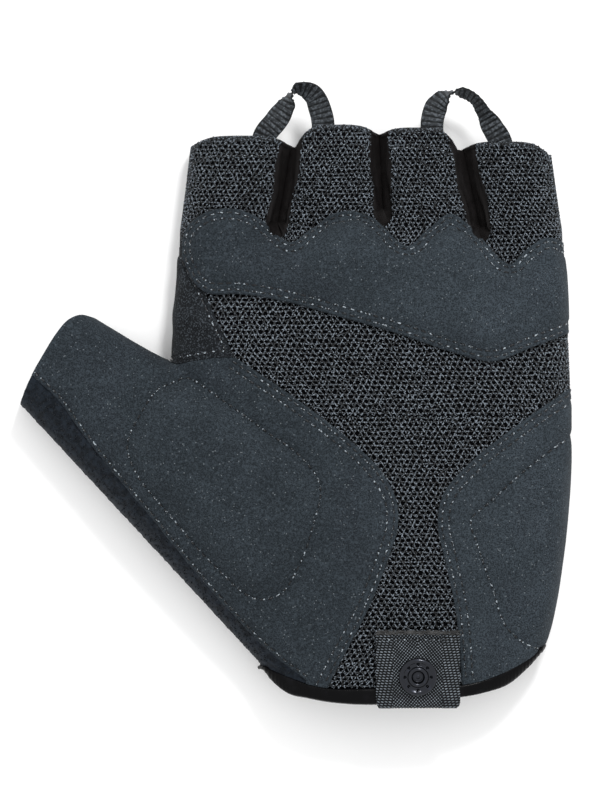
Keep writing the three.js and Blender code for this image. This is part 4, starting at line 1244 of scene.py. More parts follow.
def yarn_lines(width, low, high, pitch, rows, wave):
    """The three families of yarns of an open mesh whose holes are hexagons, each yarn crossing over
    one family and under the other: a list of places across, heights and lifts."""
    lines = []
    first, last = math.floor(low / rows), math.ceil(high / rows)
    reach = width / 2 + pitch
    fine = pitch / 2 / KNIT_POINTS
    for j in range(first, last):
        shift = (j % 2) * pitch / 2
        u = np.arange(-reach, reach, fine)
        turn = 2 * math.pi * (u - shift + pitch / 4) / pitch
        lines.append((u, (j + 0.5) * rows + 0.06 * rows * np.sin(2 * turn), wave * (np.cos(turn) - 0.9)))
    v = np.arange(first * rows, last * rows, rows / 2 / KNIT_POINTS)
    turn = 2 * math.pi * v / rows
    lean = pitch / 2 / rows
    spread = (last - first) * pitch / 2
    for way in (1, -1):
        count = math.ceil((reach + spread) / pitch)
        for i in range(-count, count + 1):
            u = (i + 0.5) * pitch + (first % 2) * pitch / 2 + way * lean * (v - v[0]) - way * spread / 2
            u = u + (spread / 2 - (last - first) // 2 * pitch / 2) * way
            kept = np.abs(u) < reach
            if kept.any():
                sway = 0.05 * pitch * np.sin(2 * turn[kept])
                lines.append((u[kept] + sway, v[kept], way * wave * np.cos(turn[kept])))
    return lines


def wander(rng, count, step, size_of_it):
    """A smooth random walk to and fro, for yarns that don't lie quite straight."""
    knots = rng.normal(0, size_of_it, max(2, int(count * step / WANDER_LENGTH) + 2))
    return np.interp(np.arange(count) * step / WANDER_LENGTH, np.arange(len(knots)), knots)


def knit(name, look, material, drape, pitch, rows, test, low, high, seed):
    """One area of the open mesh as threads, between two heights and where test holds."""
    rng = np.random.default_rng(seed)
    lines = yarn_lines(drape.width.max(), low, high, pitch, rows, look.wave * MM)
    sizes = [len(u) for u, _, _ in lines]
    step = pitch / 2 / KNIT_POINTS
    u = np.concatenate([u + wander(rng, len(u), step, pitch * 0.12) for u, _, _ in lines])
    v = np.concatenate([v + wander(rng, len(v), step, rows * 0.13) for _, v, _ in lines])
    lift = np.concatenate([lift for _, _, lift in lines])
    spots = drape.spots(u, v)
    kept = test(spots) & (v > low) & (v < high) & (np.abs(u) < drape.width.max() / 2)
    point, normal = np.zeros((len(u), 3)), np.zeros((len(u), 3))
    point[kept], normal[kept] = skin(FRONT, spots[kept], lift[kept] - KNIT_DEPTH)
    strands, start = [], 0
    for count in sizes:
        span = slice(start, start + count)
        strands += cut_strands(point[span], normal[span], kept[span])
        start += count
    thick = look.yarn * pitch / look.palm_pitch
    body = threads(strands, thick, thick * 0.86, KNIT_SIDES)
    piece(name, body, material, "palm_mesh", "palm_mesh", crease=180)


def mesh_area(spots):
    """Where the mesh shows, with a little more that is tucked under the suede beside it."""
    loops = [INDEX_WRAP, TERRY_FRONT, *GUSSET_LOOPS]
    found = area(without=loops)(spots)
    for loop in (THUMB_PANEL, HEEL_PANEL, KNUCKLE_PANEL):
        found[found] &= ~inside(loop, spots[found]) | (distance(closed(loop), spots[found]) < 0.4)
    return found


def build_knit(look):
    """The palm's mesh in two pieces, and a finer one on each finger."""
    yarn = knit_finish(look, "mesh_yarn", 1.0)

    def palm(spots):
        found = spots[:, 1] < knuckle_line(spots[:, 0])
        found[found] &= mesh_area(spots[found])
        return found

    drape = Drape(palm_sides, -1.0, BODY_LENGTH * 0.8)
    pitch, rows = look.palm_pitch * MM, look.palm_rows * MM
    split, end = BODY_LENGTH * MESH_SPLIT, BODY_LENGTH * MESH_END
    knit("knit_palm_lower", look, yarn, drape, pitch, rows, palm, MESH_FOOT, split, 11)
    knit("knit_palm_upper", look, yarn, drape, pitch, rows, palm, split, end, 12)
    pitch, rows = look.finger_pitch * MM, look.finger_rows * MM
    for i, name in enumerate(FINGER_NAMES):
        def finger(spots, index=i):
            left, right = finger_line(index, spots[:, 1]), finger_line(index + 1, spots[:, 1])
            found = (spots[:, 1] > knuckle_line(spots[:, 0])) & (spots[:, 0] > left) & (spots[:, 0] < right)
            found[found] &= mesh_area(spots[found])
            return found

        drape = Drape(lambda y, index=i: finger_sides(index, y), BODY_LENGTH * 0.66, BODY_LENGTH + 3)
        foot = BODY_LENGTH * FINGER_MESH_FOOT
        knit(f"knit_{name}", look, yarn, drape, pitch, rows, finger, foot, BODY_LENGTH, 21 + i)


def build_lining(look):
    """The inner cloth of the front, near black as painted shade, which the mesh shows through its holes."""
    test = area(without=[TERRY_FRONT, *GUSSET_LOOPS])
    spots, triangles = patch(test, [*MOUTHS, TERRY_EDGE, *GUSSET_LOOPS], 1.6)
    cloth = layer(FRONT, spots, triangles, -0.7, -WALL)
    piece("front_lining_painted_shade", cloth, lining_painted_shade_finish(look), "palm_mesh", "palm_mesh")


# Suede

STITCH_INSET = (1.1, 2.9)  # of the two rows beside the thumb's and the heel's edges
KNUCKLE_INSET = (1.05, 2.6)
TERRY_INSET = 1.0
ROW_REACH = (0.3, 0.62)  # of finer points beside each row
GROOVE_WIDTH = 0.5
PAD_GROOVE_WIDTH = 0.95


def loop_turn(loop):
    """1 where a loop runs anticlockwise and -1 where it runs clockwise."""
    x, y = loop[:, 0], loop[:, 1]
    return math.copysign(1, (x * np.roll(y, -1) - y * np.roll(x, -1)).sum())


class SeamRow:
    """One row of stitches on the front: its line, and how deep it pulls the suede in."""

    def __init__(self, line, deep=False):
        self.line = resample(line, 0.5)
        self.deep = deep
        self.total = lengths(self.line)[-1]

    def pitch(self, wanted):
        return self.total / round(self.total / wanted)

    def groove(self, spots, look, wanted):
        away, along = nearest(self.line, spots)
        depth = (look.pad_groove if self.deep else look.groove) * MM
        broad = bell(away, PAD_GROOVE_WIDTH if self.deep else GROOVE_WIDTH)
        puckers = 0.72 + 0.28 * np.cos(2 * math.pi * along / self.pitch(wanted))
        ends = smoothstep(0, 0.6, np.minimum(along, self.total - along) + (0.6 if self.closed_up() else 0))
        return depth * broad * puckers * ends

    def closed_up(self):
        return np.linalg.norm(self.line[0] - self.line[-1]) < 1.0


THUMB_ROWS = [
    *(SeamRow(beside(THUMB_EDGE, -inset)) for inset in STITCH_INSET),
    SeamRow(beside(TERRY_EDGE, TERRY_INSET)),
    SeamRow(closed(THENAR_PAD), deep=True),
]
HEEL_ROWS = [
    *(SeamRow(beside(HEEL_EDGE, inset)) for inset in STITCH_INSET),
    SeamRow(closed(HEEL_PAD), deep=True),
]
KNUCKLE_ROWS = [
    SeamRow(closed(beside(closed(KNUCKLE_PANEL), loop_turn(KNUCKLE_PANEL) * inset)))
    for inset in KNUCKLE_INSET
]


def ripple(spots, size_of_it):
    """Gentle unevenness of a soft surface."""
    x, y = spots[:, 0], spots[:, 1]
    waves = [(0.41, 0.23, 0.3), (-0.29, 0.47, 1.9), (0.67, -0.55, 4.1), (0.13, 0.86, 2.6), (1.05, 0.4, 0.8)]
    return size_of_it * sum(np.sin(a * x + b * y + c) for a, b, c in waves) / len(waves)


def swell(loop, rise, ramp, spots):
    """The swell of a pad within its outline."""
    found = inside(loop, spots)
    lift = np.zeros(len(spots))
    lift[found] = rise * smoothstep(0, ramp, distance(closed(loop), spots[found]))
    return lift


class Panel:
    """A suede panel: its outline, the rows of stitches on it and the pad under it."""

    def __init__(self, name, node, outline, rows, pad, rise, cover):
        self.name, self.node, self.outline, self.rows = name, node, outline, rows
        self.pad, self.rise, self.cover = pad, rise, cover
        self.test = area([outline], [TERRY_FRONT, *GUSSET_LOOPS])

    def lift(self, spots, suede, stitching):
        """How far the suede stands off the body at some places."""
        lift = self.cover + swell(self.pad, self.rise, suede.ramp * MM, spots) + ripple(spots, 0.22)
        lift = 0.35 + (lift - 0.35) * smoothstep(-1, 4.5, distance(OUTLINE, spots))
        edge = distance(closed(self.outline), spots)
        if self.name == "suede_thumb":
            edge = np.minimum(edge, distance(TERRY_EDGE, spots))
        lift -= 0.38 * np.clip(1 - edge / 0.45, 0, 1) ** 2
        for row in self.rows:
            lift -= row.groove(spots, suede, stitching.pitch * MM)
        return lift


def panels(suede):
    """The three suede panels as the user's sizes give them."""
    proud = suede.proud * MM
    return [
        Panel("suede_thumb", "thumb_panel", THUMB_PANEL, THUMB_ROWS, THENAR_PAD,
              suede.thenar_rise * MM, proud),
        Panel("suede_heel", "heel_panel", HEEL_PANEL, HEEL_ROWS, HEEL_PAD,
              suede.heel_rise * MM, proud),
        Panel("suede_knuckle", "knuckle_panel", KNUCKLE_PANEL, KNUCKLE_ROWS, KNUCKLE_PANEL,
              suede.knuckle_rise * MM, suede.knuckle * MM),
    ]


def build_suede(suede, stitching):
    material = suede_finish(suede)
    for panel in panels(suede):
        rows = []
        for row in panel.rows:
            rows += [row.line, *(offset(row.line, turn * reach) for reach in ROW_REACH for turn in (1, -1))]
        cuts = [*MOUTHS, closed(panel.outline), TERRY_EDGE, *GUSSET_LOOPS]
        spots, triangles = patch(panel.test, cuts, 1.0, rows)
        top = panel.lift(spots, suede, stitching)
        under = np.where(panel.cover > 0.8, panel.cover - suede.thickness * MM, -0.4)
        made = piece(panel.name, layer(FRONT, spots, triangles, top, under), material, "suede", panel.node)


# Stitching

HEM_DEPTH = 5.2  # from a finger's hem to its row of stitches
BACK_INSET = 1.2  # of the row beside the edge of the back cloth's wrap
CROTCH_INSET = 1.4
UNDER_THUMB_INSET = (1.2, 3.0)
STITCH_SIDES = 6
STITCH_POINTS = 7


def stitch_lines(side, line, lift, stitching, test, bury=0.3, rise=0.16, pitch=None, length=None):
    """The stitches of one row where test holds, as points and normals. Each arches out of the cloth by
    rise, and its ends are buried in it."""
    total = lengths(line)[-1]
    wanted = pitch or stitching.pitch * MM
    seen = length or stitching.length * MM
    count = round(total / wanted)
    share = np.linspace(0, 1, STITCH_POINTS)
    middles = (np.arange(count) + 0.5) * total / count
    spots = along_line(line, middles[:, None] + (share - 0.5) * seen)
    shape = np.sin(math.pi * share) ** 0.6 * (bury + rise) - bury
    kept = test(spots.reshape(-1, 2)).reshape(count, -1).all(axis=1)
    if not kept.any():
        return []
    spots = spots[kept].reshape(-1, 2)
    height = lift(spots) + np.tile(shape, kept.sum())
    point, normal = skin(side, spots, height)
    return list(zip(point.reshape(-1, STITCH_POINTS, 3), normal.reshape(-1, STITCH_POINTS, 3)))


def level(height):
    """A lift that is the same at all places."""
    return lambda spots: np.full(len(spots), height)


def stitches(name, lines, thick, material, slot, node):
    piece(name, threads(lines, thick, thick * 0.85, STITCH_SIDES), material, slot, node)


def build_stitching(stitching, suede):
    thread = thread_finish(stitching)
    thick = stitching.thread * MM
    for panel in panels(suede):
        sewn = []
        for row in panel.rows:
            lift = partial(panel.lift, suede=suede, stitching=stitching)
            sewn += stitch_lines(FRONT, row.line, lift, stitching, panel.test)
        stitches(panel.name.replace("suede", "stitches"), sewn, thick, thread, "suede", panel.node)
    hem_rows = [resample(hem, 0.5) - [0, HEM_DEPTH] for hem in HEMS]
    sewn = []
    for row in (beside(BACK_EDGE, -BACK_INSET), beside(CROTCH_EDGE, -CROTCH_INSET)):
        sewn += stitch_lines(FRONT, row, level(0.0), stitching, area([INDEX_WRAP]))
    behind = area(without=[TERRY_BACK, *GUSSET_LOOPS])
    under_thumb = [beside(UNDER_THUMB_EDGE, -inset) for inset in UNDER_THUMB_INSET]
    for row in (*under_thumb, *hem_rows):
        sewn += stitch_lines(BACK, row, level(0.05), stitching, behind)
    stitches("stitches_back", sewn, thick, thread, "back_cloth", "back_panel")
    front = area(without=[INDEX_WRAP, TERRY_FRONT, KNUCKLE_PANEL, *GUSSET_LOOPS])
    sewn = []
    for row in hem_rows:
        sewn += stitch_lines(
            FRONT, row, level(-0.02), stitching, front, bury=0.25, rise=0.1, pitch=1.7, length=1.2,
        )
    stitches("stitches_hems", sewn, thick * 0.8, thread, "palm_mesh", "palm_mesh")


# Back, wrap and towelling

def build_back(cloth):
    material = back_finish(cloth)
    test = area(without=[TERRY_BACK, TERRY_FRONT, *GUSSET_LOOPS])
    spots, triangles = patch(test, [*MOUTHS, UNDER_THUMB_EDGE, TERRY_EDGE, *GUSSET_LOOPS], 1.6)
    body = layer(BACK, spots, triangles, ripple(spots, 0.06) - 0.03, -WALL)
    piece("back_cloth", body, material, "back_cloth", "back_panel")
    row = SeamRow(beside(BACK_EDGE, -BACK_INSET))
    spots, triangles = patch(area([INDEX_WRAP]), [*MOUTHS, BACK_EDGE, CROTCH_EDGE], 0.9, [row.line])
    lift = 0.1 + ripple(spots, 0.25) - 0.25 * bell(distance(row.line, spots), GROOVE_WIDTH)
    lift -= 0.3 * np.clip(1 - distance(BACK_EDGE, spots) / 0.5, 0, 1) ** 2
    body = layer(FRONT, spots, triangles, lift, -0.7)
    piece("index_wrap", body, material, "back_cloth", "back_panel")
    welt = resample(CROTCH_EDGE, 0.4)
    kept = area()(welt)
    point, normal = skin(FRONT, welt, 0.42 + ripple(welt * 3, 0.05))
    cords = cut_strands(point, normal, kept)
    piece("wrap_welt", threads(cords, 0.42, 0.34, 8), material, "back_cloth", "back_panel")


TUFT_TAPER = (0.34, 0.3, 0.22, 0.1)  # a tuft's thickness at its four points
TUFT_ROOM = 0.9  # from a tuft's foot to the nearest edge


def tufts(side, spots, cloth, rng):
    """Short bent tufts of pile at scattered places."""
    share = np.linspace(0, 1, 4)
    lean = rng.uniform(0, 2 * math.pi, len(spots))
    reach = rng.uniform(0.25, 0.7, len(spots))
    tall = rng.uniform(0.55, 1.0, len(spots)) * cloth.pile * MM
    shift = np.stack([np.cos(lean) * reach, np.sin(lean) * reach], axis=-1)
    path = spots[:, None] + shift[:, None] * (share[:, None] ** 1.6)
    height = tall[:, None] * np.sin(share * 2.2) - 0.25
    point, normal = skin(side, path.reshape(-1, 2), height.ravel())
    return list(zip(point.reshape(-1, 4, 3), normal.reshape(-1, 4, 3)))


def build_towelling(cloth):
    material = towelling_finish(cloth)
    rng = np.random.default_rng(5)
    pitch = cloth.pile_pitch * MM
    for word, side, edge, test in (
        ("front", FRONT, TERRY_EDGE, area([TERRY_FRONT])),
        ("back", BACK, UNDER_THUMB_EDGE, area([TERRY_BACK])),
    ):
        spots, triangles = patch(test, [*MOUTHS, edge, TERRY_EDGE], 1.1)
        lift = rng.normal(0, 0.09, len(spots)) - 0.12
        body = layer(side, spots, triangles, lift, -WALL)
        piece(f"towelling_{word}", body, material, "towelling", "thumb_towelling")
        low, high = spots.min(axis=0), spots.max(axis=0)
        y, x = np.mgrid[low[1]:high[1]:pitch, low[0]:high[0]:pitch]
        field = np.column_stack([x.ravel(), y.ravel()])
        field = field + rng.uniform(-0.45, 0.45, field.shape) * pitch
        field = field[test(field)]
        room = np.minimum(distance(OUTLINE, field), distance(edge, field))
        room = np.minimum(room + 0.2, distance(MOUTH_LINE, field))
        room = np.minimum(room, distance(CUFF_SEAM, field))
        found = tufts(side, field[room > TUFT_ROOM], cloth, rng)
        thick = np.tile(TUFT_TAPER, len(found))
        body = threads(found, thick, thick, 3)
        piece(f"pile_{word}", body, material, "towelling", "thumb_towelling", crease=180)


# Gussets

def gusset_folds(line, spots):
    """Soft folds of the jersey, which run up the gap and fan out at its foot."""
    x, y = spots[:, 0], spots[:, 1]
    across = x - finger_line(line, y)
    foot = crotch_height(line) - GUSSET_DEPTH
    slack = smoothstep(foot + 22, foot + 2, y) * 0.7 + 0.3
    wave = np.sin(across * 3.3 + 1.7 * np.sin(y * 0.31 + line) + line)
    cross_fold = np.sin(y * 1.15 + across * 1.1 + 2 * line) * smoothstep(foot + 9, foot, y)
    return slack * (0.34 * wave + 0.4 * cross_fold) - 0.45


def build_gussets(cloth):
    material = jersey_finish(cloth)
    for i, (name, _) in enumerate(GUSSETS):
        test = area([GUSSET_LOOPS[i]])
        spots, triangles = patch(test, [*MOUTHS, closed(GUSSET_LOOPS[i])], 0.5)
        edge = distance(closed(GUSSET_LOOPS[i]), spots)
        for word, side in (("front", FRONT), ("back", BACK)):
            lift = gusset_folds(i + 1, spots) - 0.15 * np.clip(1 - edge / 0.5, 0, 1)
            lift = np.maximum(lift, 0.4 - distance(closed(SLITS[i]), spots) * 1.2)
            body = layer(side, spots, triangles, lift, -WALL)
            piece(f"{name}_{word}", body, material, "gusset_cloth", name)


# Hems and cuff

HEM_TURN = 0.7  # how far the middle of a hem's roll lies behind the hem
HEM_THICK = 1.5
HEM_WIDE = 1.35


def round_hem(line, owners):
    """The roll round a mouth, over its front and under its back, as threads for each owner."""
    strands = {}
    line = resample(line, 0.35)
    for side in (FRONT, BACK):
        point, normal = skin(side, line, -WALL / 2 - 0.18 + 0.05 * np.sin(lengths(line) * 3.2))
        for owner, test in owners[side[1]]:
            strands.setdefault(owner, []).extend(cut_strands(point, normal, test(line)))
    return strands


def build_hems(knit_look, suede, cloth):
    # Painted shade: the hems' yarn is a darker copy of the mesh's yarn, for their folded rolls.
    yarn = knit_finish(knit_look, "hem_yarn_painted_shade", 0.4)
    jersey, back = jersey_finish(cloth), back_finish(cloth)
    hide, terry = suede_finish(suede), towelling_finish(cloth)

    def gusset(spots):
        return np.any([inside(loop, spots) for loop in GUSSET_LOOPS], axis=0)

    strands = {}
    for i in range(4):
        line = HEMS[i][1:-1] - [0, HEM_TURN]
        sides = finger_sides(i, line[:, 1])
        line = line[(line[:, 0] > sides[0] + 0.02) & (line[:, 0] < sides[1] - 0.02)]
        owners = {
            1.0: [("gusset", gusset), ("front", lambda p: ~gusset(p))],
            -1.0: [("gusset", gusset), ("back", lambda p: ~gusset(p))],
        }
        for owner, found in round_hem(line, owners).items():
            strands.setdefault(owner, []).extend(found)
    mouth = beside(MOUTH_LINE, -HEM_TURN)
    mouth = mouth[inside(OUTLINE, mouth)]
    thumb = round_hem(mouth, {
        1.0: [("towelling", lambda p: inside(TERRY_FRONT, p)), ("suede", lambda p: ~inside(TERRY_FRONT, p))],
        -1.0: [("towelling", lambda p: np.full(len(p), True))],
    })
    rolls = [
        ("hem_fingers_front", strands["front"], yarn, "palm_mesh", ["palm_mesh"]),
        ("hem_fingers_back", strands["back"], back, "back_cloth", ["back_panel"]),
        ("hem_gussets", strands["gusset"], jersey, "gusset_cloth", [name for name, _ in GUSSETS]),
        ("hem_thumb_suede", thumb["suede"], hide, "suede", ["thumb_panel"]),
        ("hem_thumb_towelling", thumb["towelling"], terry, "towelling", ["thumb_towelling"]),
    ]
    for name, found, material, slot, nodes in rolls:
        piece(name, threads(found, HEM_WIDE, HEM_THICK, 12), material, slot, *nodes)


# Section of the binding: shares of the way from its seam to its hem, and lifts off the body
CUFF_SECTION = [
    (0, 0.1), (0.04, 0.34), (0.14, 0.52), (0.3, 0.62), (0.5, 0.64), (0.7, 0.6), (0.86, 0.48), (0.96, 0.25),
    (1, -0.1), (1.04, -0.5), (1.02, -1.0), (0.94, -1.35), (0.6, -1.42), (0.2, -1.42), (0, -1.3),
]


CUFF_POINTS = 240  # across the front, and as many across the back
CUFF_RIB = 0.9  # from rib to rib of the elastic
CUFF_RIB_RISE = 0.05


def build_cuff(trim):
    """The binding as one ring of rounded sections round the wrist."""
    share = np.sin(np.linspace(-1, 1, CUFF_POINTS) * math.pi / 2) / 2 + 0.5
    rings = []
    for side in (FRONT, BACK):
        columns = []
        for t, lift in CUFF_SECTION:
            line = CUFF_SEAM + (CUFF_HEM - CUFF_SEAM) * t
            met = crossings(line, OUTLINE)[2]
            left, right = met[:, 0].min() + 0.01, met[:, 0].max() - 0.01
            x = left + (right - left) * share
            spots = np.column_stack([x, np.interp(x, line[:, 0], line[:, 1])])
            ribs = CUFF_RIB_RISE * np.cos(2 * math.pi * x / CUFF_RIB) * (lift > 0.3)
            columns.append(skin(side, spots, lift + ribs)[0])
        rings.append(np.stack(columns, axis=1))
    ring = np.concatenate([rings[0], rings[1][::-1]])
    piece("cuff_binding", hoop(ring), elastic_finish(trim), "cuff_elastic", "cuff_band", crease=70)


# Tab, snap and loops

TAB_COLUMNS = 120
OVER_ROWS, TURN_ROWS, TAIL_ROWS = 110, 13, 30  # of the tab's grid outside, round the hem and inside
TAB_FOLD = 1.35  # height at which the tab begins to turn round the hem
FOLD_REACH = 1.2
TAB_SEAM = 1.3  # from the tab's raw end to its row of stitches
RELIEF = 0.08  # height of the tab's ribs
FRAY_FIBRES = 170
FRAY_STRANDS = 3


def sheet_faces(middle, half_out, half_in):
    """The two faces of a cloth round its middle, from the turns of its rows and columns."""
    down, over = np.gradient(middle, axis=0), np.gradient(middle, axis=1)
    face = unit(np.cross(down, over))
    return middle + face * half_out[..., None], middle - face * half_in[..., None]


def tab_lift():
    return BAND_PROUD + GAP + TAB_CLOTH / 2


def tab_grid():
    """The tab's middle layer: over the cuff, round the hem and up inside. Gives places and lifts."""
    front, back = tab_lift(), -(WALL + GAP + TAB_CLOTH / 2)
    turn = np.linspace(0, math.pi, TURN_ROWS + 2)[1:-1]
    y = np.concatenate([
        np.linspace(TAB_HEIGHT + 0.7, TAB_FOLD, OVER_ROWS), TAB_FOLD - FOLD_REACH * np.sin(turn),
        np.linspace(TAB_FOLD, TAB_TAIL, TAIL_ROWS),
    ])
    middle, reach = (front + back) / 2, (front - back) / 2
    lift = np.concatenate([
        np.full(OVER_ROWS, front), middle + reach * np.cos(turn), np.full(TAIL_ROWS, back),
    ])
    q = np.clip((TAB_FOLD + 0.6 - y) / TAB_CORNER, 0, 1)
    half = TAB_WIDTH / 2 - TAB_CORNER * (1 - np.sqrt(1 - q**2))
    share = np.linspace(-1, 1, TAB_COLUMNS)
    x = TAB_OFFSET + half[:, None] * share
    return x, np.broadcast_to(y[:, None], x.shape), np.broadcast_to(lift[:, None], x.shape)


def build_tab(trim, stitching):
    """The tape with its ribs, the row of stitches at its end, and what frays beyond that."""
    x, y, lift = tab_grid()
    spots = np.column_stack([x.ravel(), y.ravel()])
    middle = skin(FRONT, spots, lift.ravel())[0].reshape(*x.shape, 3)
    pitch = trim.twill * MM
    away = np.abs(x - TAB_OFFSET)
    twill = np.sin(2 * math.pi * (y + TWILL_SLOPE * away) / math.hypot(1, TWILL_SLOPE) / pitch)
    selvedge = np.sin(2 * math.pi * y / (pitch * SELVEDGE_PITCH))
    side = smoothstep(TAB_WIDTH / 2 - SELVEDGE_END, TAB_WIDTH / 2 - SELVEDGE_FULL, away)
    relief = RELIEF * (twill * (1 - side) + selvedge * side)
    rounded = 0.2 * smoothstep(TAB_WIDTH / 2 - 0.5, TAB_WIDTH / 2, away)
    welt = 0.25 * bell(y - TAB_HEIGHT, 0.5) * (lift > 0)
    seam = 0.35 * bell(y - TAB_HEIGHT + TAB_SEAM, 0.5) * (lift > 0)
    over = TAB_CLOTH / 2 - RELIEF + relief - rounded + welt - seam
    outer, inner = sheet_faces(middle, over, TAB_CLOTH / 2 - 0.12 - rounded)
    piece("wrist_tab_tape", slab(outer, inner), tab_finish(trim), "tape", "wrist_tab")
    left, right = TAB_OFFSET - TAB_WIDTH / 2 + 0.7, TAB_OFFSET + TAB_WIDTH / 2 - 0.7
    row = np.array([[left, TAB_HEIGHT - TAB_SEAM], [right, TAB_HEIGHT - TAB_SEAM]])
    top = tab_lift() + TAB_CLOTH / 2 - 0.3
    sewn = stitch_lines(FRONT, row, level(top), stitching, level(True), pitch=1.75, length=1.3)
    thick = stitching.thread * MM
    stitches("stitches_tab", sewn, thick, thread_finish(stitching), "tape", "wrist_tab")
    build_fray(trim, left - 0.5, right + 0.5, top)


def build_fray(trim, left, right, top):
    """Loose fibres of the weft, and strands of the warp along the tab's raw end."""
    rng = np.random.default_rng(8)
    fibres, thickness = [], []
    for _ in range(FRAY_FIBRES):
        start = np.array([rng.uniform(left, right), TAB_HEIGHT + rng.uniform(0.1, 0.9)])
        end = start + [rng.normal(0, 1.1), rng.uniform(-0.3, 0.5)]
        path = start + (end - start) * np.linspace(0, 1, 5)[:, None]
        path[2] += rng.normal(0, 0.2, 2)
        height = top + 0.35 + rng.uniform(-0.4, 0.25) + 0.2 * np.sin(np.linspace(0, 3, 5))
        fibres.append(skin(FRONT, path, height))
        thickness += [0.2] * 5
    for k in range(FRAY_STRANDS):
        x = np.linspace(left, right, 90)
        sway = 0.2 * np.sin(x * (0.9 + 0.35 * k) + 2 * k) + 0.12 * np.sin(x * 2.7 + k)
        edge = np.column_stack([x, TAB_HEIGHT + 0.75 - 0.22 * k + sway])
        fibres.append(skin(FRONT, edge, top + 0.3 + 0.12 * np.sin(x * 2.3 + 2 * k)))
        thickness += [0.36] * 90
    thickness = np.array(thickness)
    piece("tab_fray", threads(fibres, thickness, thickness, 5), fray_finish(trim), "tape", "wrist_tab")


def turned(rows, count):
    """Rings of points from a section given as radius and height, turned round the Z axis."""
    section = smooth_line(np.array([*rows, rows[0]]), 4)[:-1]
    angle = np.arange(count) / count * 2 * math.pi
    radius, height = section[:, 0], section[:, 1]
    return np.stack([
        np.cos(angle)[:, None] * radius, np.sin(angle)[:, None] * radius,
        np.broadcast_to(height, (count, len(height))),
    ], axis=-1)


PRONG_RING = 0.68  # share of SNAP_RADIUS at which the prongs dent the ring
# Sections of the snap: radius and height, the ring's as shares of SNAP_RADIUS and SNAP_THICKNESS
RING_SECTION = [
    (SNAP_HOLE / SNAP_RADIUS, 0), (0.6, 0), (0.93, 0), (0.99, 0.12), (1, 0.3), (0.985, 0.5),
    (0.945, 0.66), (0.89, 0.76), (0.83, 0.78), (0.78, 0.7), (0.72, 0.58), (0.64, 0.55), (0.58, 0.58),
    (0.54, 0.72), (0.5, 0.9), (0.45, 1), (0.4, 1), (0.355, 0.92), (0.32, 0.75), (0.295, 0.45),
]
EYE_SECTION = [
    (0.02, 0.06), (0.6, 0.06), (1.5, 0.06), (1.55, 0.2), (1.2, 0.3), (0.7, 0.26), (0.3, 0.42), (0.02, 0.46),
]


def build_snap(trim):
    """A ring with a rolled rim and a dent over each prong, a raised socket, its spring and its eye."""
    ring = turned([(r * SNAP_RADIUS, z * SNAP_THICKNESS) for r, z in RING_SECTION], 128)
    for i in range(SNAP_PRONGS):
        angle = 2 * math.pi * i / SNAP_PRONGS
        spot = PRONG_RING * SNAP_RADIUS * np.array([math.cos(angle), math.sin(angle)])
        away = np.linalg.norm(ring[..., :2] - spot, axis=-1)
        dent = 0.42 * np.exp(-((away / 0.3) ** 4)) - 0.1 * bell(away - 0.46, 0.14)
        ring[..., 2] -= dent * (ring[..., 2] > SNAP_THICKNESS * 0.45)
    wire = [(1.28 + 0.17 * math.cos(a), 0.62 + 0.17 * math.sin(a)) for a in np.linspace(0, 5.5, 8)]
    spring = turned(wire, 72)
    eye = turned(EYE_SECTION, 48)
    points, faces = together([hoop(ring), hoop(spring), hoop(eye)])
    seat = np.array([[TAB_OFFSET, SNAP_FROM_HEM]])
    middle, normal = skin(FRONT, seat, tab_lift() + TAB_CLOTH / 2 + 0.02)
    turn = Vector((0, 0, 1)).rotation_difference(Vector(normal[0])).to_matrix()
    points = points @ np.array(turn).T + middle[0]
    piece("snap_ring", (points, faces), metal_finish(trim), "snap_metal", "press_snap", crease=60)


def tape_foot(index, place, y):
    """Middle of a tape sewn under a finger's front, and the slope of the cloth there."""
    left, right = finger_sides(index, y)
    if index > 0:
        left += (SOLID_SLIT - SLIT) / 2
    if index < 3:
        right -= (SOLID_SLIT - SLIT) / 2
    depth, half = FINGERS["depth"][index] * FINGER_DEPTH, (right - left) / 2
    under = WALL + 3 * GAP + TAPE_CLOTH / 2

    def height(at):
        return SEAM_HEIGHT + (depth - SEAM_HEIGHT) * crown_share(at) - under

    reach = TAPE_WIDTH / 2 / half
    slope = (height(place + reach) - height(place - reach)) / TAPE_WIDTH
    sag = height(place) - (height(place + reach) + height(place - reach)) / 2
    return np.array([(left + right) / 2 + place * half, y, height(place) - sag]), slope


LOOP_STEPS = 26
TAPE_SIDE = 0.12  # how far the woven core stays inside its solid at each side
TAPE_FACE = 0.22  # and on each face
RIB_REACH = 0.95  # of the core's width
RIB_STAND = 0.19  # of a rib's middle off the core's
RIB_SHARE = 0.7  # of the way from rib to rib that a rib takes up
RIB_HEIGHT = 0.46


def loop_path(feet, path):
    """A pull loop's middle from tail to tail, and the directions across the tape and off its face."""
    ends, slopes, tails = [], [], []
    for finger, place in feet:
        hem = FINGERS["hem"][finger] * BODY_LENGTH
        end, slope = tape_foot(finger, place, hem)
        ends.append(end)
        slopes.append(slope)
        tails.append(tape_foot(finger, place, hem - TAPE_TAIL)[0])
    start, end = ends
    between = [start + (end - start) * across + [0, rise * LOOP_RISE, 0] for across, rise, _ in path]
    line = smooth_line([tails[0], start, *between, end, tails[1]], LOOP_STEPS)
    turns = np.array([0, 0, *(turn for _, _, turn in path), 1, 1])
    place = np.clip(np.arange(len(line)) / LOOP_STEPS, 0, len(turns) - 1.001)
    k = place.astype(int)
    turn = turns[k] + (turns[k + 1] - turns[k]) * smoothstep(0, 1, place - k)
    roll = math.pi * turn + math.atan(slopes[0]) * (1 - turn) - math.atan(slopes[1]) * turn
    ahead = unit(np.gradient(line, axis=0))
    across = unit(np.cross(ahead, [0, 0, 1])) * np.cos(roll)[:, None]
    across[:, 2] = np.sin(roll)
    across = unit(across)
    return line, across, unit(np.cross(ahead, across))


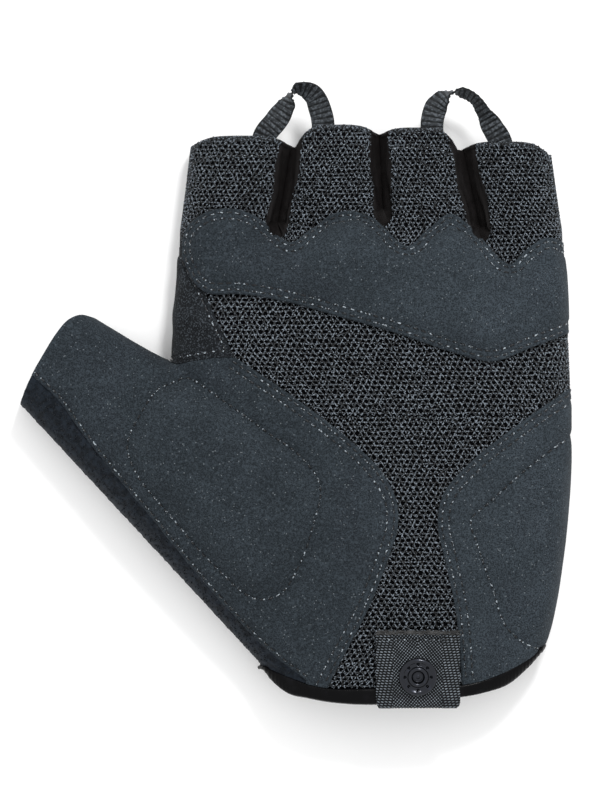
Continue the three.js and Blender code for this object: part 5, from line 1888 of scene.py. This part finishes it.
def build_loops(trim):
    """Each loop as a flat woven core with a rib across it on both faces at every pitch. The core is a darker
    copy of the tape for painted shade between the ribs, and the ribs a brighter one for painted light.
    """
    # Painted light and shade: the same tape at two brightnesses, dark for the core between the ribs and
    # bright for the ribs.
    core, ribs = tape_finish(trim, "tape_core", 0.3), tape_finish(trim, "tape_ribs", 1.3)
    pitch = trim.rib * MM
    u = np.linspace(-1, 1, 15)[:, None] * (TAPE_WIDTH / 2 - TAPE_SIDE)
    for name, first_foot, last_foot, path in LOOPS:
        line, across, face = loop_path((first_foot, last_foot), path)
        middle = line[:, None] + across[:, None] * u
        half = face[:, None] * (TAPE_CLOTH / 2 - TAPE_FACE)
        walked = lengths(line)
        marks = np.arange(0.5, walked[-1], pitch)
        spots, overs, outs = (
            np.stack([np.interp(marks, walked, value[:, k]) for k in range(3)], axis=-1)
            for value in (line, across, face)
        )
        cords = [
            (spot + over * u * RIB_REACH + out * turn * RIB_STAND, np.tile(out * turn, (len(u), 1)))
            for turn in (1, -1) for spot, over, out in zip(spots, overs, outs)
        ]
        piece(f"{name}_tape", slab(middle + half, middle - half), core, "tape", name)
        piece(f"{name}_ribs", threads(cords, pitch * RIB_SHARE, RIB_HEIGHT, 8), ribs, "tape", name)


# Studio, whose sizes are in metres

FLOOR_REACH = 2.0
FLOOR_DROP = 0.0003
LAMP_PLACE = (0.25, 0.65, 0.8)
VIEW_HEIGHT = 0.2067  # height of the field that the camera frames
VIEW_ACROSS, VIEW_UP = -0.01846, 0.08021  # the photograph's middle on the palm


def build_studio(studio):
    scene = bpy.context.scene
    scene.view_settings.view_transform = "Standard"
    world = bpy.data.worlds.new("studio")
    world.use_nodes = True
    sky = world.node_tree.nodes["Background"]
    sky.inputs["Color"].default_value = (1, 1, 1, 1)
    sky.inputs["Strength"].default_value = studio.sky
    scene.world = world
    floor_mesh = bpy.data.meshes.new("floor")
    ways = ((-1, -1), (1, -1), (1, 1), (-1, 1))
    corners = [(x * FLOOR_REACH, y * FLOOR_REACH, -FLOOR_DROP) for x, y in ways]
    floor_mesh.from_pydata(corners, [], [(0, 1, 2, 3)])
    floor_mesh.materials.append(floor_finish(studio.floor))
    floor = bpy.data.objects.new("floor", floor_mesh)
    scene.collection.objects.link(floor)
    light = bpy.data.lights.new("lamp", "AREA")
    light.size = studio.lamp_size
    light.energy = studio.lamp
    lamp = bpy.data.objects.new("lamp", light)
    lamp.location = LAMP_PLACE
    lamp.rotation_euler = (-lamp.location).to_track_quat("-Z", "Y").to_euler()
    scene.collection.objects.link(lamp)
    camera = bpy.data.cameras.new("camera")
    eye = bpy.data.objects.new("camera", camera)
    camera.lens = camera.sensor_width * studio.distance / VIEW_HEIGHT
    eye.location = (
        VIEW_ACROSS + ORIGIN[0] / MM, VIEW_UP + ORIGIN[1] / MM, SEAM_HEIGHT / MM + studio.distance,
    )
    scene.collection.objects.link(eye)
    scene.camera = eye


class MITT_OT_studio(bpy.types.Operator):
    """Set up the floor, the light and the camera"""

    bl_idname = "mitt.studio"
    bl_label = "Studio"

    def execute(self, context):
        build_studio(context.scene.mitt_studio)
        return {"FINISHED"}


class MITT_OT_lining(bpy.types.Operator):
    """Make the near-black cloth behind the mesh and suede, as painted shade"""

    bl_idname = "mitt.lining"
    bl_label = "Lining"

    def execute(self, context):
        build_lining(context.scene.mitt_knit)
        return {"FINISHED"}


class MITT_OT_knit(bpy.types.Operator):
    """Knit the open mesh of the palm and fingers"""

    bl_idname = "mitt.knit"
    bl_label = "Mesh"

    def execute(self, context):
        build_knit(context.scene.mitt_knit)
        return {"FINISHED"}


class MITT_OT_suede(bpy.types.Operator):
    """Make the padded suede panels"""

    bl_idname = "mitt.suede"
    bl_label = "Suede panels"

    def execute(self, context):
        build_suede(context.scene.mitt_suede, context.scene.mitt_stitching)
        return {"FINISHED"}


class MITT_OT_stitching(bpy.types.Operator):
    """Sew the visible rows of stitches"""

    bl_idname = "mitt.stitching"
    bl_label = "Stitching"

    def execute(self, context):
        build_stitching(context.scene.mitt_stitching, context.scene.mitt_suede)
        return {"FINISHED"}


class MITT_OT_back(bpy.types.Operator):
    """Make the back cloth and its wrap beside the index finger"""

    bl_idname = "mitt.back"
    bl_label = "Back cloth"

    def execute(self, context):
        build_back(context.scene.mitt_cloth)
        return {"FINISHED"}


class MITT_OT_towelling(bpy.types.Operator):
    """Make the towelling of the thumb and its pile"""

    bl_idname = "mitt.towelling"
    bl_label = "Towelling"

    def execute(self, context):
        build_towelling(context.scene.mitt_cloth)
        return {"FINISHED"}


class MITT_OT_gussets(bpy.types.Operator):
    """Make the folded gussets between the fingers"""

    bl_idname = "mitt.gussets"
    bl_label = "Gussets"

    def execute(self, context):
        build_gussets(context.scene.mitt_cloth)
        return {"FINISHED"}


class MITT_OT_hems(bpy.types.Operator):
    """Roll the hems of the fingers and the thumb"""

    bl_idname = "mitt.hems"
    bl_label = "Hems"

    def execute(self, context):
        scene = context.scene
        build_hems(scene.mitt_knit, scene.mitt_suede, scene.mitt_cloth)
        return {"FINISHED"}


class MITT_OT_cuff(bpy.types.Operator):
    """Bind the cuff"""

    bl_idname = "mitt.cuff"
    bl_label = "Cuff"

    def execute(self, context):
        build_cuff(context.scene.mitt_trim)
        return {"FINISHED"}


class MITT_OT_tab(bpy.types.Operator):
    """Fold the woven tab over the cuff"""

    bl_idname = "mitt.tab"
    bl_label = "Wrist tab"

    def execute(self, context):
        build_tab(context.scene.mitt_trim, context.scene.mitt_stitching)
        return {"FINISHED"}


class MITT_OT_snap(bpy.types.Operator):
    """Set the press snap on the tab"""

    bl_idname = "mitt.snap"
    bl_label = "Press snap"

    def execute(self, context):
        build_snap(context.scene.mitt_trim)
        return {"FINISHED"}


class MITT_OT_loops(bpy.types.Operator):
    """Make the two ribbed pull loops"""

    bl_idname = "mitt.loops"
    bl_label = "Pull loops"

    def execute(self, context):
        build_loops(context.scene.mitt_trim)
        return {"FINISHED"}


GROUPS = {
    "mitt_knit": MittKnit,
    "mitt_suede": MittSuede,
    "mitt_stitching": MittStitching,
    "mitt_cloth": MittCloth,
    "mitt_trim": MittTrim,
    "mitt_studio": MittStudio,
}
OPERATORS = (
    MITT_OT_studio, MITT_OT_lining, MITT_OT_knit, MITT_OT_suede, MITT_OT_stitching, MITT_OT_back,
    MITT_OT_towelling, MITT_OT_gussets, MITT_OT_hems, MITT_OT_cuff, MITT_OT_tab, MITT_OT_snap, MITT_OT_loops,
)


class MITT_PT_panel(bpy.types.Panel):
    """The mitt's pieces, sizes and colours"""

    bl_idname = "MITT_PT_panel"
    bl_label = "Mitt"
    bl_space_type = "VIEW_3D"
    bl_region_type = "UI"
    bl_category = "Mitt"

    def draw(self, context):
        for operator in OPERATORS:
            self.layout.operator(operator.bl_idname)
        for name, group in GROUPS.items():
            box = self.layout.box()
            box.label(text=group.__doc__)
            for setting in group.__annotations__:
                box.prop(getattr(context.scene, name), setting)


def register():
    for made in (*GROUPS.values(), *OPERATORS, MITT_PT_panel):
        bpy.utils.register_class(made)
    for name, group in GROUPS.items():
        setattr(bpy.types.Scene, name, PointerProperty(type=group))


def unregister():
    for name in GROUPS:
        delattr(bpy.types.Scene, name)
    for made in reversed((*GROUPS.values(), *OPERATORS, MITT_PT_panel)):
        bpy.utils.unregister_class(made)


def main():
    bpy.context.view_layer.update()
    register()
    bpy.ops.mitt.studio()
    bpy.ops.mitt.lining()
    bpy.ops.mitt.knit()
    bpy.ops.mitt.suede()
    bpy.ops.mitt.stitching()
    bpy.ops.mitt.back()
    bpy.ops.mitt.towelling()
    bpy.ops.mitt.gussets()
    bpy.ops.mitt.hems()
    bpy.ops.mitt.cuff()
    bpy.ops.mitt.tab()
    bpy.ops.mitt.snap()
    bpy.ops.mitt.loops()


if __name__ == "__main__":
    main()
